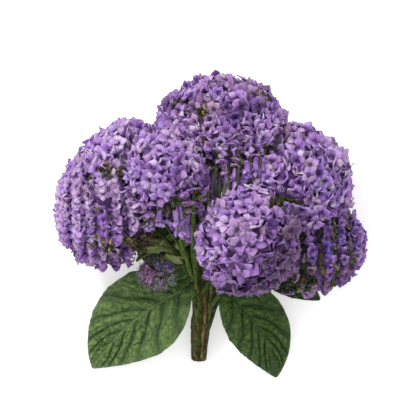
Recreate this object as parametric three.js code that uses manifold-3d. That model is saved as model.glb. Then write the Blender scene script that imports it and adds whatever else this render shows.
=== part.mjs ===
// A cut spray of garden heliotrope, laid on a flat surface with its best side up.
// One stem branches into the stalks of six domed flower heads and a head of buds, and carries four leaves.
// Millimetres. +Z is up, away from the surface, +Y runs from the cut end towards the flowers, and the
// origin is on the surface under the middle of the spray.

import * as THREE from "three";
import { mergeVertices } from "three/addons/utils/BufferGeometryUtils.js";
import Module from "manifold-3d";

const wasm = await Module();
wasm.setup();

// Driving dimensions

const SEED = 11;
const CLEARANCE = 0.3; // round a stalk where it goes into a head, and round a leaf's foot in the stem
const CONTACT_GAP = 0.25; // each side of the plane where two heads press together

const FLORET = {
  spacing: 13.3, // the least distance between two
  fill: 0.54, // the reach of a petal, as a share of the spacing
  notch: 0.68, // the radius between two petals, as a share of that reach
  throat: 0.3, // depth of the throat, as a share of that reach
  neck: 0.2, // radius of the root, as a share of that reach
  tube: 4.2, // from the petals' rim down to the core
  root: 2.8, // how far the root goes on into the core
  tilt: 0.16, // radians of random lean
};

const MATERIALS = {
  petals: { color: 0x8a6aa6, roughness: 0.6 },
  buds: { color: 0x5c4368, roughness: 0.7 },
  leaf: { color: 0x44622c, roughness: 0.5 },
  dark_leaf: { color: 0x2f4a1e, roughness: 0.55 },
  stem: { color: 0x5a6130, roughness: 0.7 },
};

// A head is an ellipsoid of florets about centre, turned by turn degrees about the vertical. Its pole is
// the middle of the dome, and open says how far round from the pole, in degrees, the florets go before
// the green underside starts. stalk is the line of its stalk from inside the stem to the fork, from
// which arms spread to the underside. The stem itself carries the top head.
const HEADS = {
  left: {
    centre: [-50, 17.3, 32.6],
    radii: [32.9, 43, 33.5],
    turn: -30,
    pole: [-0.8, 0.25, 0.5],
    open: 108,
    stalk: [[-8.4, -29, 20.3], [-13, -20, 20.5], [-19, -8, 20], [-27, 7.5, 20.5]],
    stalkRadii: [1.9, 1.6],
  },
  middle_left: {
    centre: [-24.8, 27.5, 60.5],
    radii: [22.8, 25.5, 23],
    turn: 0,
    pole: [-0.15, 0.6, 0.8],
    open: 112,
    stalk: [[-8.6, -20, 23.8], [-12.5, -11, 28], [-16.5, -1, 33.5], [-19.5, 9, 39.5]],
    stalkRadii: [1.7, 1.5],
  },
  top: {
    centre: [5.8, 51, 31.8],
    radii: [37.7, 32.4, 32.5],
    turn: 0,
    pole: [0, 0.85, 0.5],
    open: 118,
  },
  right_upper: {
    centre: [44, 21.7, 30.5],
    radii: [34.5, 34.1, 30],
    turn: 0,
    pole: [0.45, 0.45, 0.77],
    open: 115,
    stalk: [[-3.4, -37, 14], [4, -27, 11.5], [14, -14, 9], [23, -1, 8.5], [30, 7.5, 10]],
    stalkRadii: [2.0, 1.6],
  },
  right_lower: {
    centre: [52.7, -10.2, 21.9],
    radii: [33.1, 29.7, 22.5],
    turn: 0,
    pole: [0.92, -0.25, 0.2],
    open: 95,
    stalk: [[-3.6, -59, 8.2], [-0.8, -51.5, 9.4], [1.6, -44, 10.2], [5.5, -35, 10.5], [12, -27.5, 11],
      [20, -22, 12], [29, -12, 15.5], [35, -7, 18]],
    stalkRadii: [2.1, 1.6],
  },
  centre: {
    centre: [20.1, -8, 59.5],
    radii: [28.6, 29.7, 26],
    turn: 0,
    pole: [0.1, -0.1, 1],
    open: 112,
    stalk: [[-5.2, -38, 19], [0, -29, 23], [7, -20, 27.5], [14, -11, 33.5]],
    stalkRadii: [1.9, 1.6],
  },
  bud: {
    centre: [-29.7, -26.1, 26.5],
    radii: [10.5, 8.6, 8.2],
    turn: 0,
    pole: [-0.5, 0.2, 0.85],
    open: 105,
    young: true,
    stalk: [[-8.8, -33.6, 20], [-13, -30.5, 23], [-18, -28, 24], [-22, -27, 24.2]],
    stalkRadii: [1.2, 1.0],
  },
};
const BUD_FLORET = { ...FLORET, spacing: 6.3, fill: 0.45, notch: 0.75, throat: -0.35, tube: 2.2, root: 1 };
const CORE_END = 0.9; // a core goes this share as deep behind its centre as the florets do
const PRESSED_TOGETHER = [["left", "middle_left"], ["left", "top"], ["middle_left", "top"],
  ["middle_left", "centre"], ["top", "right_upper"], ["top", "centre"], ["right_upper", "centre"],
  ["right_upper", "right_lower"], ["right_lower", "centre"]];

// The stem: its centreline from the cut end to the fork under the top head, and its radii along it.
const STEM = {
  line: [[-6.6, -74, 3.5], [-6.4, -68, 4.3], [-6, -59, 7.8], [-5.2, -49, 12], [-5.5, -40, 16],
    [-7.4, -32, 19], [-8.5, -21, 22.5], [-9, -9, 25], [-8.6, 1, 25.8], [-7, 10.5, 25.2]],
  radii: [4.2, 4.9, 5.4, 4.7, 3.5, 2.7, 2.4, 2.3, 2.1],
  ribs: 5,
  ribDepth: 0.07,
  sides: 10,
  rings: 15,
};
const ARMS = { count: 4, reach: 0.56, radii: [1.5, 1.0], sunk: 1.4, sides: 4 };

// A leaf: its petiole from inside the stem, then the blade from base to tip. bow moves the middle of
// the midrib sideways, towards the blade's own left, and arch moves it up. roll turns the blade about it.
const LEAVES = {
  leaf_left: {
    petiole: [[-7.4, -39.5, 16.5], [-11, -35, 18.4]],
    base: [-11.5, -34.3, 18.6],
    tip: [-65.8, -78.8, 0.3],
    bow: -5.8,
    arch: 3.5,
    halfWidth: 23,
    roll: 0.06,
    veins: 8,
    relief: 0.9,
    material: "leaf",
  },
  leaf_right: {
    petiole: [[-3, -49, 14.5], [1, -42.5, 16.8]],
    base: [6, -35.6, 17.4],
    tip: [36.2, -83.9, 0.3],
    bow: 6.3,
    arch: 4,
    halfWidth: 17.2,
    roll: -0.22,
    veins: 8,
    relief: 0.8,
    material: "leaf",
  },
  leaf_back_right: {
    petiole: [[20, -22.2, 12], [24, -23.4, 9.6]],
    base: [27, -24.6, 7.3],
    tip: [60.5, -40.8, 0.3],
    bow: 1.5,
    arch: 1,
    halfWidth: 7.5,
    roll: 0.1,
    veins: 4,
    relief: 0.5,
    columns: 3,
    material: "dark_leaf",
  },
  leaf_back_left: {
    petiole: [[-9, -25, 20.8], [-11, -21.6, 17.4]],
    base: [-13, -19.8, 16.2],
    tip: [-44, -7, 9],
    bow: -1.5,
    arch: 1,
    halfWidth: 12,
    roll: 0,
    veins: 4,
    relief: 0.5,
    columns: 3,
    material: "dark_leaf",
  },
  leaf_back_middle: {
    petiole: [[-6.6, -34, 17.4], [-6, -29, 14.6]],
    base: [-5.6, -25, 13],
    tip: [1.5, 26, 2.5],
    bow: 1.5,
    arch: 1,
    halfWidth: 11,
    roll: 0,
    veins: 3,
    relief: 0.5,
    columns: 2,
    material: "dark_leaf",
  },
};
const BLADE = { thickness: 0.8, columns: 5, lean: 0.42, petioleRadii: [1.5, 1.2], widestAt: 0.42 };

// Numbers and vectors

function seeded(seed) {
  let state = seed;
  return () => {
    state = (state + 0x6d2b79f5) | 0;
    let t = Math.imul(state ^ (state >>> 15), 1 | state);
    t = (t + Math.imul(t ^ (t >>> 7), 61 | t)) ^ t;
    return ((t ^ (t >>> 14)) >>> 0) / 4294967296;
  };
}

const vector = ([x, y, z]) => new THREE.Vector3(x, y, z);

// Two unit vectors that make a right-handed frame with the unit vector n.
function across(n) {
  const helper = Math.abs(n.z) < 0.9 ? new THREE.Vector3(0, 0, 1) : new THREE.Vector3(1, 0, 0);
  const u = new THREE.Vector3().crossVectors(helper, n).normalize();
  return [u, new THREE.Vector3().crossVectors(n, u)];
}

// Meshes and solids

function solidFrom(corners, triangles) {
  const geometry = new THREE.BufferGeometry();
  const positions = corners.flatMap((p) => p.toArray());
  geometry.setAttribute("position", new THREE.Float32BufferAttribute(positions, 3));
  geometry.setIndex(triangles.flat());
  return toSolid(geometry);
}

// A solid from a geometry. Corners that fall together are merged, and faces that vanish are dropped.
function toSolid(geometry) {
  geometry.deleteAttribute("normal");
  geometry.deleteAttribute("uv");
  const merged = mergeVertices(geometry, 1e-4);
  const index = merged.index.array;
  const kept = [];
  for (let i = 0; i < index.length; i += 3) {
    const [a, b, c] = [index[i], index[i + 1], index[i + 2]];
    if (a !== b && b !== c && c !== a) kept.push(a, b, c);
  }
  return new wasm.Manifold(new wasm.Mesh({
    numProp: 3,
    vertProperties: merged.attributes.position.array,
    triVerts: new Uint32Array(kept),
  }));
}

function toMesh(name, solid, material) {
  const { numProp, vertProperties, triVerts } = solid.getMesh();
  const positions = [];
  for (let i = 0; i < vertProperties.length; i += numProp) {
    positions.push(vertProperties[i], vertProperties[i + 1], vertProperties[i + 2]);
  }
  const geometry = new THREE.BufferGeometry();
  geometry.setAttribute("position", new THREE.Float32BufferAttribute(positions, 3));
  geometry.setIndex([...triVerts]);
  geometry.computeVertexNormals();
  const look = new THREE.MeshStandardMaterial({ ...MATERIALS[material], metalness: 0 });
  const mesh = new THREE.Mesh(geometry, look);
  mesh.name = name;
  return mesh;
}

// Skin over rings of corners, all with the same count, closed by a fan at each end.
function skin(rings, start, end) {
  const sides = rings[0].length;
  const corners = [start, ...rings.flat(), end];
  const at = (ring, side) => 1 + ring * sides + (side % sides);
  const triangles = [];
  for (let s = 0; s < sides; s++) {
    triangles.push([0, at(0, s + 1), at(0, s)]);
    for (let r = 0; r + 1 < rings.length; r++) {
      triangles.push([at(r, s), at(r, s + 1), at(r + 1, s + 1)]);
      triangles.push([at(r, s), at(r + 1, s + 1), at(r + 1, s)]);
    }
    triangles.push([corners.length - 1, at(rings.length - 1, s), at(rings.length - 1, s + 1)]);
  }
  return solidFrom(corners, triangles);
}

// A tapered tube along a smooth line. grow makes it fatter, and longer by as much at both ends.
function tube(line, radii, { sides = 5, rings = 6, grow = 0, ribs = 0, ribDepth = 0 } = {}) {
  const points = line.map(vector);
  if (grow) {
    const lead = points[0].clone().sub(points[1]).setLength(grow);
    const tail = points.at(-1).clone().sub(points.at(-2)).setLength(grow);
    points[0].add(lead);
    points[points.length - 1].add(tail);
  }
  const curve = new THREE.CatmullRomCurve3(points, false, "centripetal");
  const frames = curve.computeFrenetFrames(rings, false);
  const loops = [];
  for (let i = 0; i <= rings; i++) {
    const t = i / rings;
    const centre = curve.getPointAt(t);
    const place = t * (radii.length - 1);
    const low = Math.min(Math.floor(place), radii.length - 2);
    const radius = THREE.MathUtils.lerp(radii[low], radii[low + 1], place - low) + grow;
    loops.push(Array.from({ length: sides }, (_, s) => {
      const angle = (2 * Math.PI * s) / sides;
      const reach = radius * (1 + ribDepth * Math.cos(ribs * angle + 2 * t));
      return centre.clone()
        .addScaledVector(frames.normals[i], reach * Math.cos(angle))
        .addScaledVector(frames.binormals[i], reach * Math.sin(angle));
    }));
  }
  return skin(loops, curve.getPointAt(0), curve.getPointAt(1));
}

// Flower heads

function poleOf(head) {
  return vector(head.pole).normalize();
}

// A vector turned with the head's ellipsoid, or turned back into it.
function turned(head, v, way = 1) {
  return v.clone().applyAxisAngle(new THREE.Vector3(0, 0, 1), way * THREE.MathUtils.degToRad(head.turn));
}

// How far a head reaches from its centre along a unit vector.
function reachAlong(head, n) {
  return 1 / turned(head, n, -1).divide(vector(head.radii)).length();
}

// How far along its pole a core starts, counted from the centre.
function coreStart(head) {
  return CORE_END * Math.cos(THREE.MathUtils.degToRad(head.open)) * reachAlong(head, poleOf(head));
}

// A floret in its own frame, facing +Z: five petals round a sunken throat, narrowing to a three-sided root.
function floret(radius, spin, kind) {
  const corners = [new THREE.Vector3(0, 0, -kind.throat * radius)];
  for (let k = 0; k < 10; k++) {
    const reach = k % 2 ? radius * kind.notch : radius;
    const angle = spin + (k * Math.PI) / 5;
    const lift = k % 2 ? 0 : -0.08 * radius;
    corners.push(new THREE.Vector3(reach * Math.cos(angle), reach * Math.sin(angle), lift));
  }
  for (let j = 0; j < 3; j++) {
    const angle = spin + ((2 * j + 1) * Math.PI) / 3;
    const x = kind.neck * radius * Math.cos(angle);
    const y = kind.neck * radius * Math.sin(angle);
    corners.push(new THREE.Vector3(x, y, -kind.tube - kind.root));
  }
  const rim = (k) => 1 + (k % 10);
  const root = (j) => 11 + (j % 3);
  const under = (k) => Math.floor((k * 3) / 10) % 3;
  const triangles = [[root(0), root(2), root(1)]];
  for (let k = 0; k < 10; k++) {
    triangles.push([0, rim(k), rim(k + 1)]);
    triangles.push([rim(k + 1), rim(k), root(under(k))]);
    if (under(k) !== under(k + 1)) triangles.push([rim(k + 1), root(under(k)), root(under(k + 1))]);
  }
  return [corners, triangles];
}

// Where florets sit: rings close together from the pole outwards, and on each ring every place that is
// far enough from the florets before it.
function floretPlaces(head, kind) {
  const pole = turned(head, poleOf(head), -1);
  const [u, v] = across(pole);
  const centre = vector(head.centre);
  const radii = vector(head.radii);
  const step = (0.3 * kind.spacing) / Math.max(...head.radii);
  const places = [];
  for (let theta = 0; theta <= THREE.MathUtils.degToRad(head.open); theta += step) {
    const count = Math.max(1, Math.round((2 * Math.PI * Math.sin(theta)) / step));
    for (let i = 0; i < count; i++) {
      const phi = (2 * Math.PI * i) / count + 2 * theta;
      const direction = pole.clone().multiplyScalar(Math.cos(theta))
        .addScaledVector(u, Math.sin(theta) * Math.cos(phi))
        .addScaledVector(v, Math.sin(theta) * Math.sin(phi));
      const at = turned(head, direction.clone().multiply(radii)).add(centre);
      const normal = turned(head, direction.clone().divide(radii)).normalize();
      if (places.every((place) => place.at.distanceTo(at) > kind.spacing)) places.push({ at, normal });
    }
  }
  return places;
}

// The planes where heads press together, as { normal, offset } that keep the head's own side.
function contactPlanes(name) {
  const planes = [];
  for (const [a, b] of PRESSED_TOGETHER) {
    if (name !== a && name !== b) continue;
    const [own, other] = name === a ? [HEADS[a], HEADS[b]] : [HEADS[b], HEADS[a]];
    const between = vector(other.centre).sub(vector(own.centre));
    const n = between.clone().normalize();
    const ownReach = reachAlong(own, n);
    const share = ownReach / (ownReach + reachAlong(other, n));
    const distance = between.length() * share - CONTACT_GAP;
    planes.push({ normal: n.clone().negate(), offset: -(vector(own.centre).dot(n) + distance) });
  }
  return planes;
}

function core(head, kind) {
  const ball = new THREE.IcosahedronGeometry(1, 1);
  ball.scale(...head.radii.map((r) => r - kind.tube));
  ball.rotateZ(THREE.MathUtils.degToRad(head.turn));
  ball.translate(...head.centre);
  const pole = poleOf(head);
  return toSolid(ball).trimByPlane(pole.toArray(), vector(head.centre).dot(pole) + coreStart(head));
}

function florets(name, random) {
  const head = HEADS[name];
  const kind = head.young ? BUD_FLORET : FLORET;
  const planes = contactPlanes(name);
  const parts = [core(head, kind)];
  for (const { at, normal } of floretPlaces(head, kind)) {
    const lean = [random() - 0.5, random() - 0.5].map((x) => 2 * kind.tilt * x);
    const spin = random() * Math.PI;
    const size = kind.spacing * kind.fill * (0.94 + 0.12 * random());
    const crowded = planes.some((p) => p.normal.dot(at) - p.offset < -0.2 * size);
    if (crowded) continue;
    const [u, v] = across(normal);
    const facing = normal.clone().addScaledVector(u, lean[0]).addScaledVector(v, lean[1]).normalize();
    const [a, b] = across(facing);
    const frame = new THREE.Matrix4().makeBasis(a, b, facing).setPosition(at);
    const [corners, triangles] = floret(size, spin, kind);
    parts.push(solidFrom(corners.map((p) => p.applyMatrix4(frame)), triangles));
  }
  let solid = wasm.Manifold.union(parts);
  for (const plane of planes) solid = solid.trimByPlane(plane.normal.toArray(), plane.offset);
  return solid;
}

// Stem, stalks and arms

// The lines of the arms that carry a head, from its fork to inside its core.
function armLines(head, fork) {
  const pole = poleOf(head);
  const [u, v] = across(pole);
  const under = vector(head.centre).addScaledVector(pole, coreStart(head));
  const start = vector(fork);
  return Array.from({ length: ARMS.count }, (_, i) => {
    const angle = (2 * Math.PI * (i + 0.25)) / ARMS.count;
    const side = u.clone().multiplyScalar(Math.cos(angle)).addScaledVector(v, Math.sin(angle));
    const end = under.clone()
      .addScaledVector(side, ARMS.reach * reachAlong(head, side))
      .addScaledVector(pole, ARMS.sunk);
    const bend = start.clone().lerp(end, 0.55).addScaledVector(side, 0.12 * start.distanceTo(end));
    return [start, bend, end].map((p) => p.toArray());
  });
}

// The branches of the stem, from the thick one to the arms.
function branches(grow = 0) {
  const { line, radii, ...shape } = STEM;
  const parts = [tube(line, radii, { ...shape, grow })];
  for (const head of Object.values(HEADS)) {
    if (head.stalk) parts.push(tube(head.stalk, head.stalkRadii, { grow }));
    const thin = head.young ? 0.55 : 1;
    for (const arm of armLines(head, (head.stalk ?? line).at(-1))) {
      parts.push(tube(arm, ARMS.radii.map((r) => r * thin), { sides: ARMS.sides, rings: 2, grow }));
    }
  }
  return parts;
}

// Leaves

// A blade: veins are the low rows and the swellings between them the high rows, alike on both faces.
// grow makes it thicker and wider by as much on every side.
function blade(leaf, grow = 0) {
  const base = vector(leaf.base);
  const tip = vector(leaf.tip);
  const along = tip.clone().sub(base);
  const flatSide = new THREE.Vector3(-along.y, along.x, 0).normalize();
  const middle = base.clone().lerp(tip, 0.5)
    .addScaledVector(flatSide, 2 * leaf.bow)
    .add(new THREE.Vector3(0, 0, 2 * leaf.arch));
  const midrib = new THREE.QuadraticBezierCurve3(base, middle, tip);
  const rows = 2 * leaf.veins + 2;
  const { columns, lean, thickness, widestAt } = { ...BLADE, ...leaf };
  const sharp = 0.9;
  const blunt = (sharp * widestAt) / (1 - widestAt);
  const widest = widestAt ** blunt * (1 - widestAt) ** sharp;
  const faces = [[], []];
  for (let i = 0; i <= rows; i++) {
    for (let j = -columns; j <= columns; j++) {
      const out = Math.abs(j) / columns;
      const t = THREE.MathUtils.clamp(i / rows + lean * out * (i / rows) * (1 - i / rows) * 2, 0, 1);
      const place = midrib.getPoint(t);
      const tangent = midrib.getTangent(t);
      const up = new THREE.Vector3(0, 0, 1);
      const side = new THREE.Vector3().crossVectors(up, tangent).normalize();
      side.applyAxisAngle(tangent, leaf.roll);
      const normal = new THREE.Vector3().crossVectors(tangent, side).normalize();
      const width = (leaf.halfWidth * t ** blunt * (1 - t) ** sharp) / widest + 0.6 + grow;
      const swell = (i % 2 ? 1 : -0.6) * leaf.relief * Math.sin(Math.PI * Math.min(1, 1.25 * out)) ** 0.7;
      const cup = 0.1 * width * out * out - (j === 0 ? leaf.relief * 0.8 : 0);
      const height = (swell + cup) * Math.min(1, 6 * t * (1 - t) + 0.15);
      const point = place.addScaledVector(side, (j / columns) * width).addScaledVector(normal, height);
      faces[0].push(point.clone().addScaledVector(normal, thickness / 2 + grow));
      faces[1].push(point.clone().addScaledVector(normal, -thickness / 2 - grow));
    }
  }
  const wide = 2 * columns + 1;
  const half = faces[0].length;
  const triangles = [];
  const quad = (a, b, c, d) => triangles.push([a, b, c], [a, c, d]);
  for (let i = 0; i < rows; i++) {
    for (let j = 0; j + 1 < wide; j++) {
      const a = i * wide + j;
      quad(a, a + wide, a + wide + 1, a + 1);
      triangles.push([half + a, half + a + wide + 1, half + a + wide]);
      triangles.push([half + a, half + a + 1, half + a + wide + 1]);
    }
    const left = i * wide;
    const right = left + wide - 1;
    quad(left, half + left, half + left + wide, left + wide);
    quad(right, right + wide, half + right + wide, half + right);
  }
  for (let j = 0; j + 1 < wide; j++) {
    const last = rows * wide + j;
    quad(j, j + 1, half + j + 1, half + j);
    quad(last, half + last, half + last + 1, last + 1);
  }
  return solidFrom([...faces[0], ...faces[1]], triangles);
}

function petiole(leaf, grow = 0) {
  return tube([...leaf.petiole, leaf.base], BLADE.petioleRadii, { rings: 4, grow });
}

// Assembly

const random = seeded(SEED);
const nodes = [];

// A solid cut clear of others, which can leave loose scraps: only the largest body stays.
function cutClear(solid, others) {
  const rest = others.reduce((left, other) => left.subtract(other), solid);
  return rest.decompose().sort((a, b) => b.volume() - a.volume())[0];
}

// Whatever reaches the surface is pressed flat on it.
function addNode(name, solid, material) {
  nodes.push(toMesh(name, solid.trimByPlane([0, 0, 1], 0), material));
}

const leaves = Object.entries(LEAVES);
const leafSpace = leaves.flatMap(([, leaf]) => [blade(leaf, CLEARANCE), petiole(leaf, CLEARANCE)]);
const stemSpace = branches(CLEARANCE);

addNode("stem", cutClear(wasm.Manifold.union(branches()), leafSpace), "stem");
for (const [name, head] of Object.entries(HEADS)) {
  const solid = cutClear(florets(name, random), [...stemSpace, ...leafSpace]);
  addNode(`florets_${name}`, solid, head.young ? "buds" : "petals");
}
for (const [name, leaf] of leaves) {
  addNode(name, wasm.Manifold.union([blade(leaf), petiole(leaf)]), leaf.material);
}

const spray = new THREE.Group();
spray.add(...nodes);
export default spray;
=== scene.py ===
"""Looks of a cut heliotrope spray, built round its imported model.

Lengths are millimetres in the frame of the model: +Z up from the surface that the spray lies on, +Y from
the cut end towards the flowers. Meshes are made in metres.
"""

import math

import bpy
import numpy as np
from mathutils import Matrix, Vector


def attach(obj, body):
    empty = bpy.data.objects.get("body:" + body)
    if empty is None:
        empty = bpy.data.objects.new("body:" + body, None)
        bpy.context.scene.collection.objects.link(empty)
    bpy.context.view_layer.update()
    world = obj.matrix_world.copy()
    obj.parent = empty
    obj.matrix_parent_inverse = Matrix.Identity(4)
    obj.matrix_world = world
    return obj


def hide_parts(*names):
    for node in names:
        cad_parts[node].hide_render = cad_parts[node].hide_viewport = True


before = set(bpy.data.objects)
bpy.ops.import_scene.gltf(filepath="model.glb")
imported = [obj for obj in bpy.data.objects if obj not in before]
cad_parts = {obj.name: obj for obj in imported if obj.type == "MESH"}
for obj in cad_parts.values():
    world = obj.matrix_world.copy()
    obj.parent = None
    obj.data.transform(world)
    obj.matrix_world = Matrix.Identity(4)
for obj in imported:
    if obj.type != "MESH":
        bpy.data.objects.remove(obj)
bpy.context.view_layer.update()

MM = 0.001
SEED = 5
FLOOR_GAP = 0.05  # nothing comes lower than this over the surface

FLORET = dict(
    spacing=5.8,  # the least distance between two
    throat=0.6,  # radius where the petals start
    petal=5.4,  # length of a petal
    half_width=2.55,
    thickness=0.36,
    tube=4.6,  # length of the tube under the petals
    in_row=0.78,  # size of those in the hanging rows, as a share of the others
)

# A head is an ellipsoid of florets about centre, turned by turn degrees about the vertical. Its pole is
# the middle of the dome, and open says how far from the pole, in degrees, the florets go. From skirt
# degrees on they hang. stalk is the line of its stalk, with the radii at both ends in stalk_radii. A head
# without one sits on the end of the stem.
# tone makes a head lighter or darker. shade is painted shade, which darkens the head towards x, y by a
# share, and band is painted shade along a groove, which darkens a strip at y, with its width, its reach in
# x and a share. kinds are the shares of florets that are open, half open, curled in and still in bud. petal
# scales a petal's length and width, larger says how much florets grow towards the foot, and fall and lift
# tip them down and towards the pole.
# Towards the foot of a head its florets stand in hanging rows at the x in rows, with a share of blue. gap
# says how wide and how unbroken the gaps between them are and how much green and tan shows in them, and
# formed how high the rows start and are full, as shares of its radius.
# Each ellipse in bare is x, y, reach in x and in y, the share of florets dropped, and the share of those
# with calyces in their place, of which the share tan is tan. Each of tubes is a long floret that hangs from
# x, y, z, with its length and how wide it is.
HEAD_DEFAULTS = dict(
    turn=0, band=None, spacing=FLORET["spacing"], larger=0.0, fall=0.35, lift=0.0, rows=(), blue=0.0,
    tubes=(), stalk=None,
)
HEAD_SIZES = {
    "left": dict(
        centre=(-50, 17.3, 32.6), radii=(32.9, 43, 33.5), turn=-30, pole=(-0.8, 0.25, 0.5), open=112,
        skirt=100, tone=0.15, shade=(0.4, -0.9, 0.26), kinds=(0.36, 0.46, 0.13, 0.05), petal=(1.12, 1.2),
        rows=(-82, -72, -66, -58.9, -52, -43.5, -34.7), gap=(1.5, 0.3, 0.08), formed=(0.55, 0.0), tan=0.85,
        bare=[(-52, -11.5, 14, 4, 0.5, 0.5), (-38, -9, 10, 6, 0.8, 0.6), (-43, 43, 4, 2.5, 0.8, 0.2),
              (-49, 29, 2.5, 4, 0.6, 0.3), (-62.7, 14.6, 2, 5, 0.5, 0.4), (-55, 33, 4, 3, 0.4, 0.2)],
        tubes=[(-70.4, -10.5, 22, 6, 1.5), (-61, -13, 22, 6, 1.5), (-53.4, -12, 22, 6.5, 1.5)],
        stalk=[(-8.4, -29, 20.3), (-13, -20, 20.5), (-19, -8, 20), (-27, 7.5, 20.5)],
        stalk_radii=(1.9, 1.6),
    ),
    "middle_left": dict(
        centre=(-24.8, 27.5, 60.5), radii=(22.8, 25.5, 23), pole=(-0.15, 0.6, 0.8), open=118,
        skirt=78, tone=0.04, shade=(0.4, -0.9, 0.12), kinds=(0.3, 0.5, 0.15, 0.05), petal=(1.05, 1.05),
        tan=0.5,
        bare=[(-20, 6, 12.5, 7, 0.95, 0.5), (-6, 13, 4, 7, 0.5, 1), (-32, 19.5, 2.5, 2.5, 0.7, 0.3),
              (-24, 29, 3, 2, 0.6, 0)],
        tubes=[(-34, 8, 62, 9, 1), (-27.2, 13, 72, 15, 1.15), (-20.4, 13, 73, 16, 1.2),
               (-30.6, 12, 68, 13, 0.95), (-23.8, 11, 66, 14, 0.95), (-16.6, 13, 70, 15, 1.05),
               (-12.6, 11, 67, 22, 1.15), (-5.2, 21, 65, 15, 1), (-14.6, 9, 60, 14, 0.9)],
        stalk=[(-8.6, -20, 23.8), (-12.5, -11, 28), (-16.5, -1, 33.5), (-19.5, 9, 39.5)],
        stalk_radii=(1.7, 1.5),
    ),
    "top": dict(
        centre=(5.8, 51, 31.8), radii=(37.7, 32.4, 32.5), pole=(0, 0.85, 0.5), open=120, skirt=84,
        tone=0.07, shade=(0, 1, 0.29), band=(15.5, 4, 24, 0.25), kinds=(0.36, 0.46, 0.13, 0.05),
        rows=(-8, -1, 6, 13, 20, 27, 34), gap=(1.2, 0, 0.5), formed=(0.1, -0.5), petal=(1.08, 1.08),
        tan=0.8,
        bare=[(6, 31, 14, 7, 0.25, 0.6), (23, 27, 8, 4, 0.7, 0.6), (-17.5, 65, 3.5, 4.5, 0.5, 0.8),
              (0.5, 69, 2.5, 3, 0.7, 0.5), (28, 68, 3.5, 3, 0.6, 1), (10, 63.2, 17, 1.5, 0.85, 0.6),
              (17.5, 51.5, 2.5, 2.5, 0.6, 1), (33, 41, 3, 4, 0.6, 1)],
        tubes=[(-8, 32, 54, 12, 1), (-3, 33, 56, 14, 1), (1.8, 31, 54, 16, 1), (7, 32, 56, 13, 1),
               (12.5, 32, 56, 10, 1), (-5.5, 30, 50, 14, 0.9), (-0.6, 30, 50, 16, 0.9),
               (4.6, 29, 51, 15, 0.9), (9.8, 30, 52, 12, 0.9), (18, 36, 58, 9, 1.1),
               (23.5, 37, 57, 9, 1.2), (29, 38, 55, 9, 1.1), (20, 30, 56, 9, 1), (26, 31, 54, 8, 1)],
    ),
    "right_upper": dict(
        centre=(44, 21.7, 30.5), radii=(34.5, 34.1, 30), pole=(0.45, 0.45, 0.77), open=117, skirt=104,
        tone=0.01, shade=(0.7, -0.7, 0.1), kinds=(0.4, 0.44, 0.11, 0.05), petal=(1.08, 1.08), tan=0.2,
        bare=[(40, 15, 8, 4.5, 0.9, 1), (50, 34, 3, 2, 0.5, 0.5)],
        stalk=[(-3.4, -37, 14), (4, -27, 11.5), (14, -14, 9), (23, -1, 8.5), (30, 7.5, 10)],
        stalk_radii=(2.0, 1.6),
    ),
    "right_lower": dict(
        centre=(52.7, -10.2, 21.9), radii=(33.1, 29.7, 22.5), pole=(0.92, -0.25, 0.2), open=100, skirt=94,
        # Its low tone is painted shade: this head lies low, in the shade.
        tone=-0.18, shade=(0, -1, 0.05), kinds=(0.25, 0.5, 0.2, 0.05), petal=(1, 1.1), tan=0.1,
        rows=(44, 55.8, 64, 72.6, 81.4), gap=(2.2, 0.5, 0.45), formed=(1.0, 0.6), blue=0.6,
        bare=[(46, -29, 9, 6, 0.6, 1), (47.5, -34, 9.5, 5, 0.8, 1)],
        stalk=[(-3.6, -59, 8.2), (-0.8, -51.5, 9.4), (1.6, -44, 10.2), (5.5, -35, 10.5),
               (12, -27.5, 11), (20, -22, 12), (29, -12, 15.5), (35, -7, 18)],
        stalk_radii=(2.1, 1.6),
    ),
    "centre": dict(
        centre=(20.1, -8, 59.5), radii=(28.6, 29.7, 26), pole=(0.1, -0.1, 1), open=116, skirt=112,
        tone=0.07, shade=(0.75, -0.66, 1.02), kinds=(0.15, 0.65, 0.15, 0.05), petal=(1.32, 1.06), tan=0.8,
        spacing=6.5, larger=0.3, fall=0.25, lift=0.15,
        bare=[(9.6, -14, 2, 2.5, 0.6, 0.1), (24, 8, 2, 2, 0.6, 0), (40, 15, 7, 5, 0.9, 0.5)],
        stalk=[(-5.2, -38, 19), (0, -29, 23), (7, -20, 27.5), (14, -11, 33.5)], stalk_radii=(1.9, 1.6),
    ),
}
BUD_SIZES = dict(
    centre=(-29.7, -26.1, 26.5), radii=(10.5, 8.6, 8.2), pole=(-0.5, 0.2, 0.85), open=115, spacing=2.3,
    stalk=[(-8.8, -33.6, 20), (-13, -30.5, 23), (-18, -28, 24), (-22, -27, 24.2)], stalk_radii=(1.2, 1.0),
)
# The few open florets among the buds: x, y, size, and their shares of pink and of blue.
BUD_FLORETS = [
    (-34.4, -24.0, 1.1, 1, 0), (-33.6, -28.2, 1.2, 1, 0), (-36.6, -26.6, 0.9, 0.8, 0),
    (-31, -26, 0.9, 0.7, 0), (-35, -31, 0.8, 0.6, 0), (-29.5, -22.6, 1, 0, 1), (-22.6, -20.4, 1.1, 0, 1),
    (-25.4, -23.2, 0.8, 0.2, 0.6), (-37.5, -22.6, 0.8, 0.5, 0.3), (-28, -30, 0.7, 0.4, 0.2),
]
# Heads that press on each other, and how far each of them stays from the plane between them.
PRESSED_TOGETHER = [
    ("left", "middle_left"), ("left", "top"), ("middle_left", "top"), ("middle_left", "centre"),
    ("top", "right_upper"), ("top", "centre"), ("right_upper", "centre"),
    ("right_upper", "right_lower"), ("right_lower", "centre"),
]
CONTACT_GAP = 0.25
CORE_END = 0.9  # where the underside of a core is cut, as a share of how far back the florets go
CORE_DEPTH = 5.2  # from the reach of the petals down to the dark inside
BUD_CORE_DEPTH = 2.6
GAP_DEPTH = 3.2  # how far florets are drawn in where a gap between rows is deepest
ROW_PULL = 3.5  # how far a floret is drawn towards its row at most
BITS_IN_A_GAP = 35
UNDERSIDE_CALYCES = 120
TUBE_PETALS = 8
HAIRS_ON_A_BUD = 6

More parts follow.
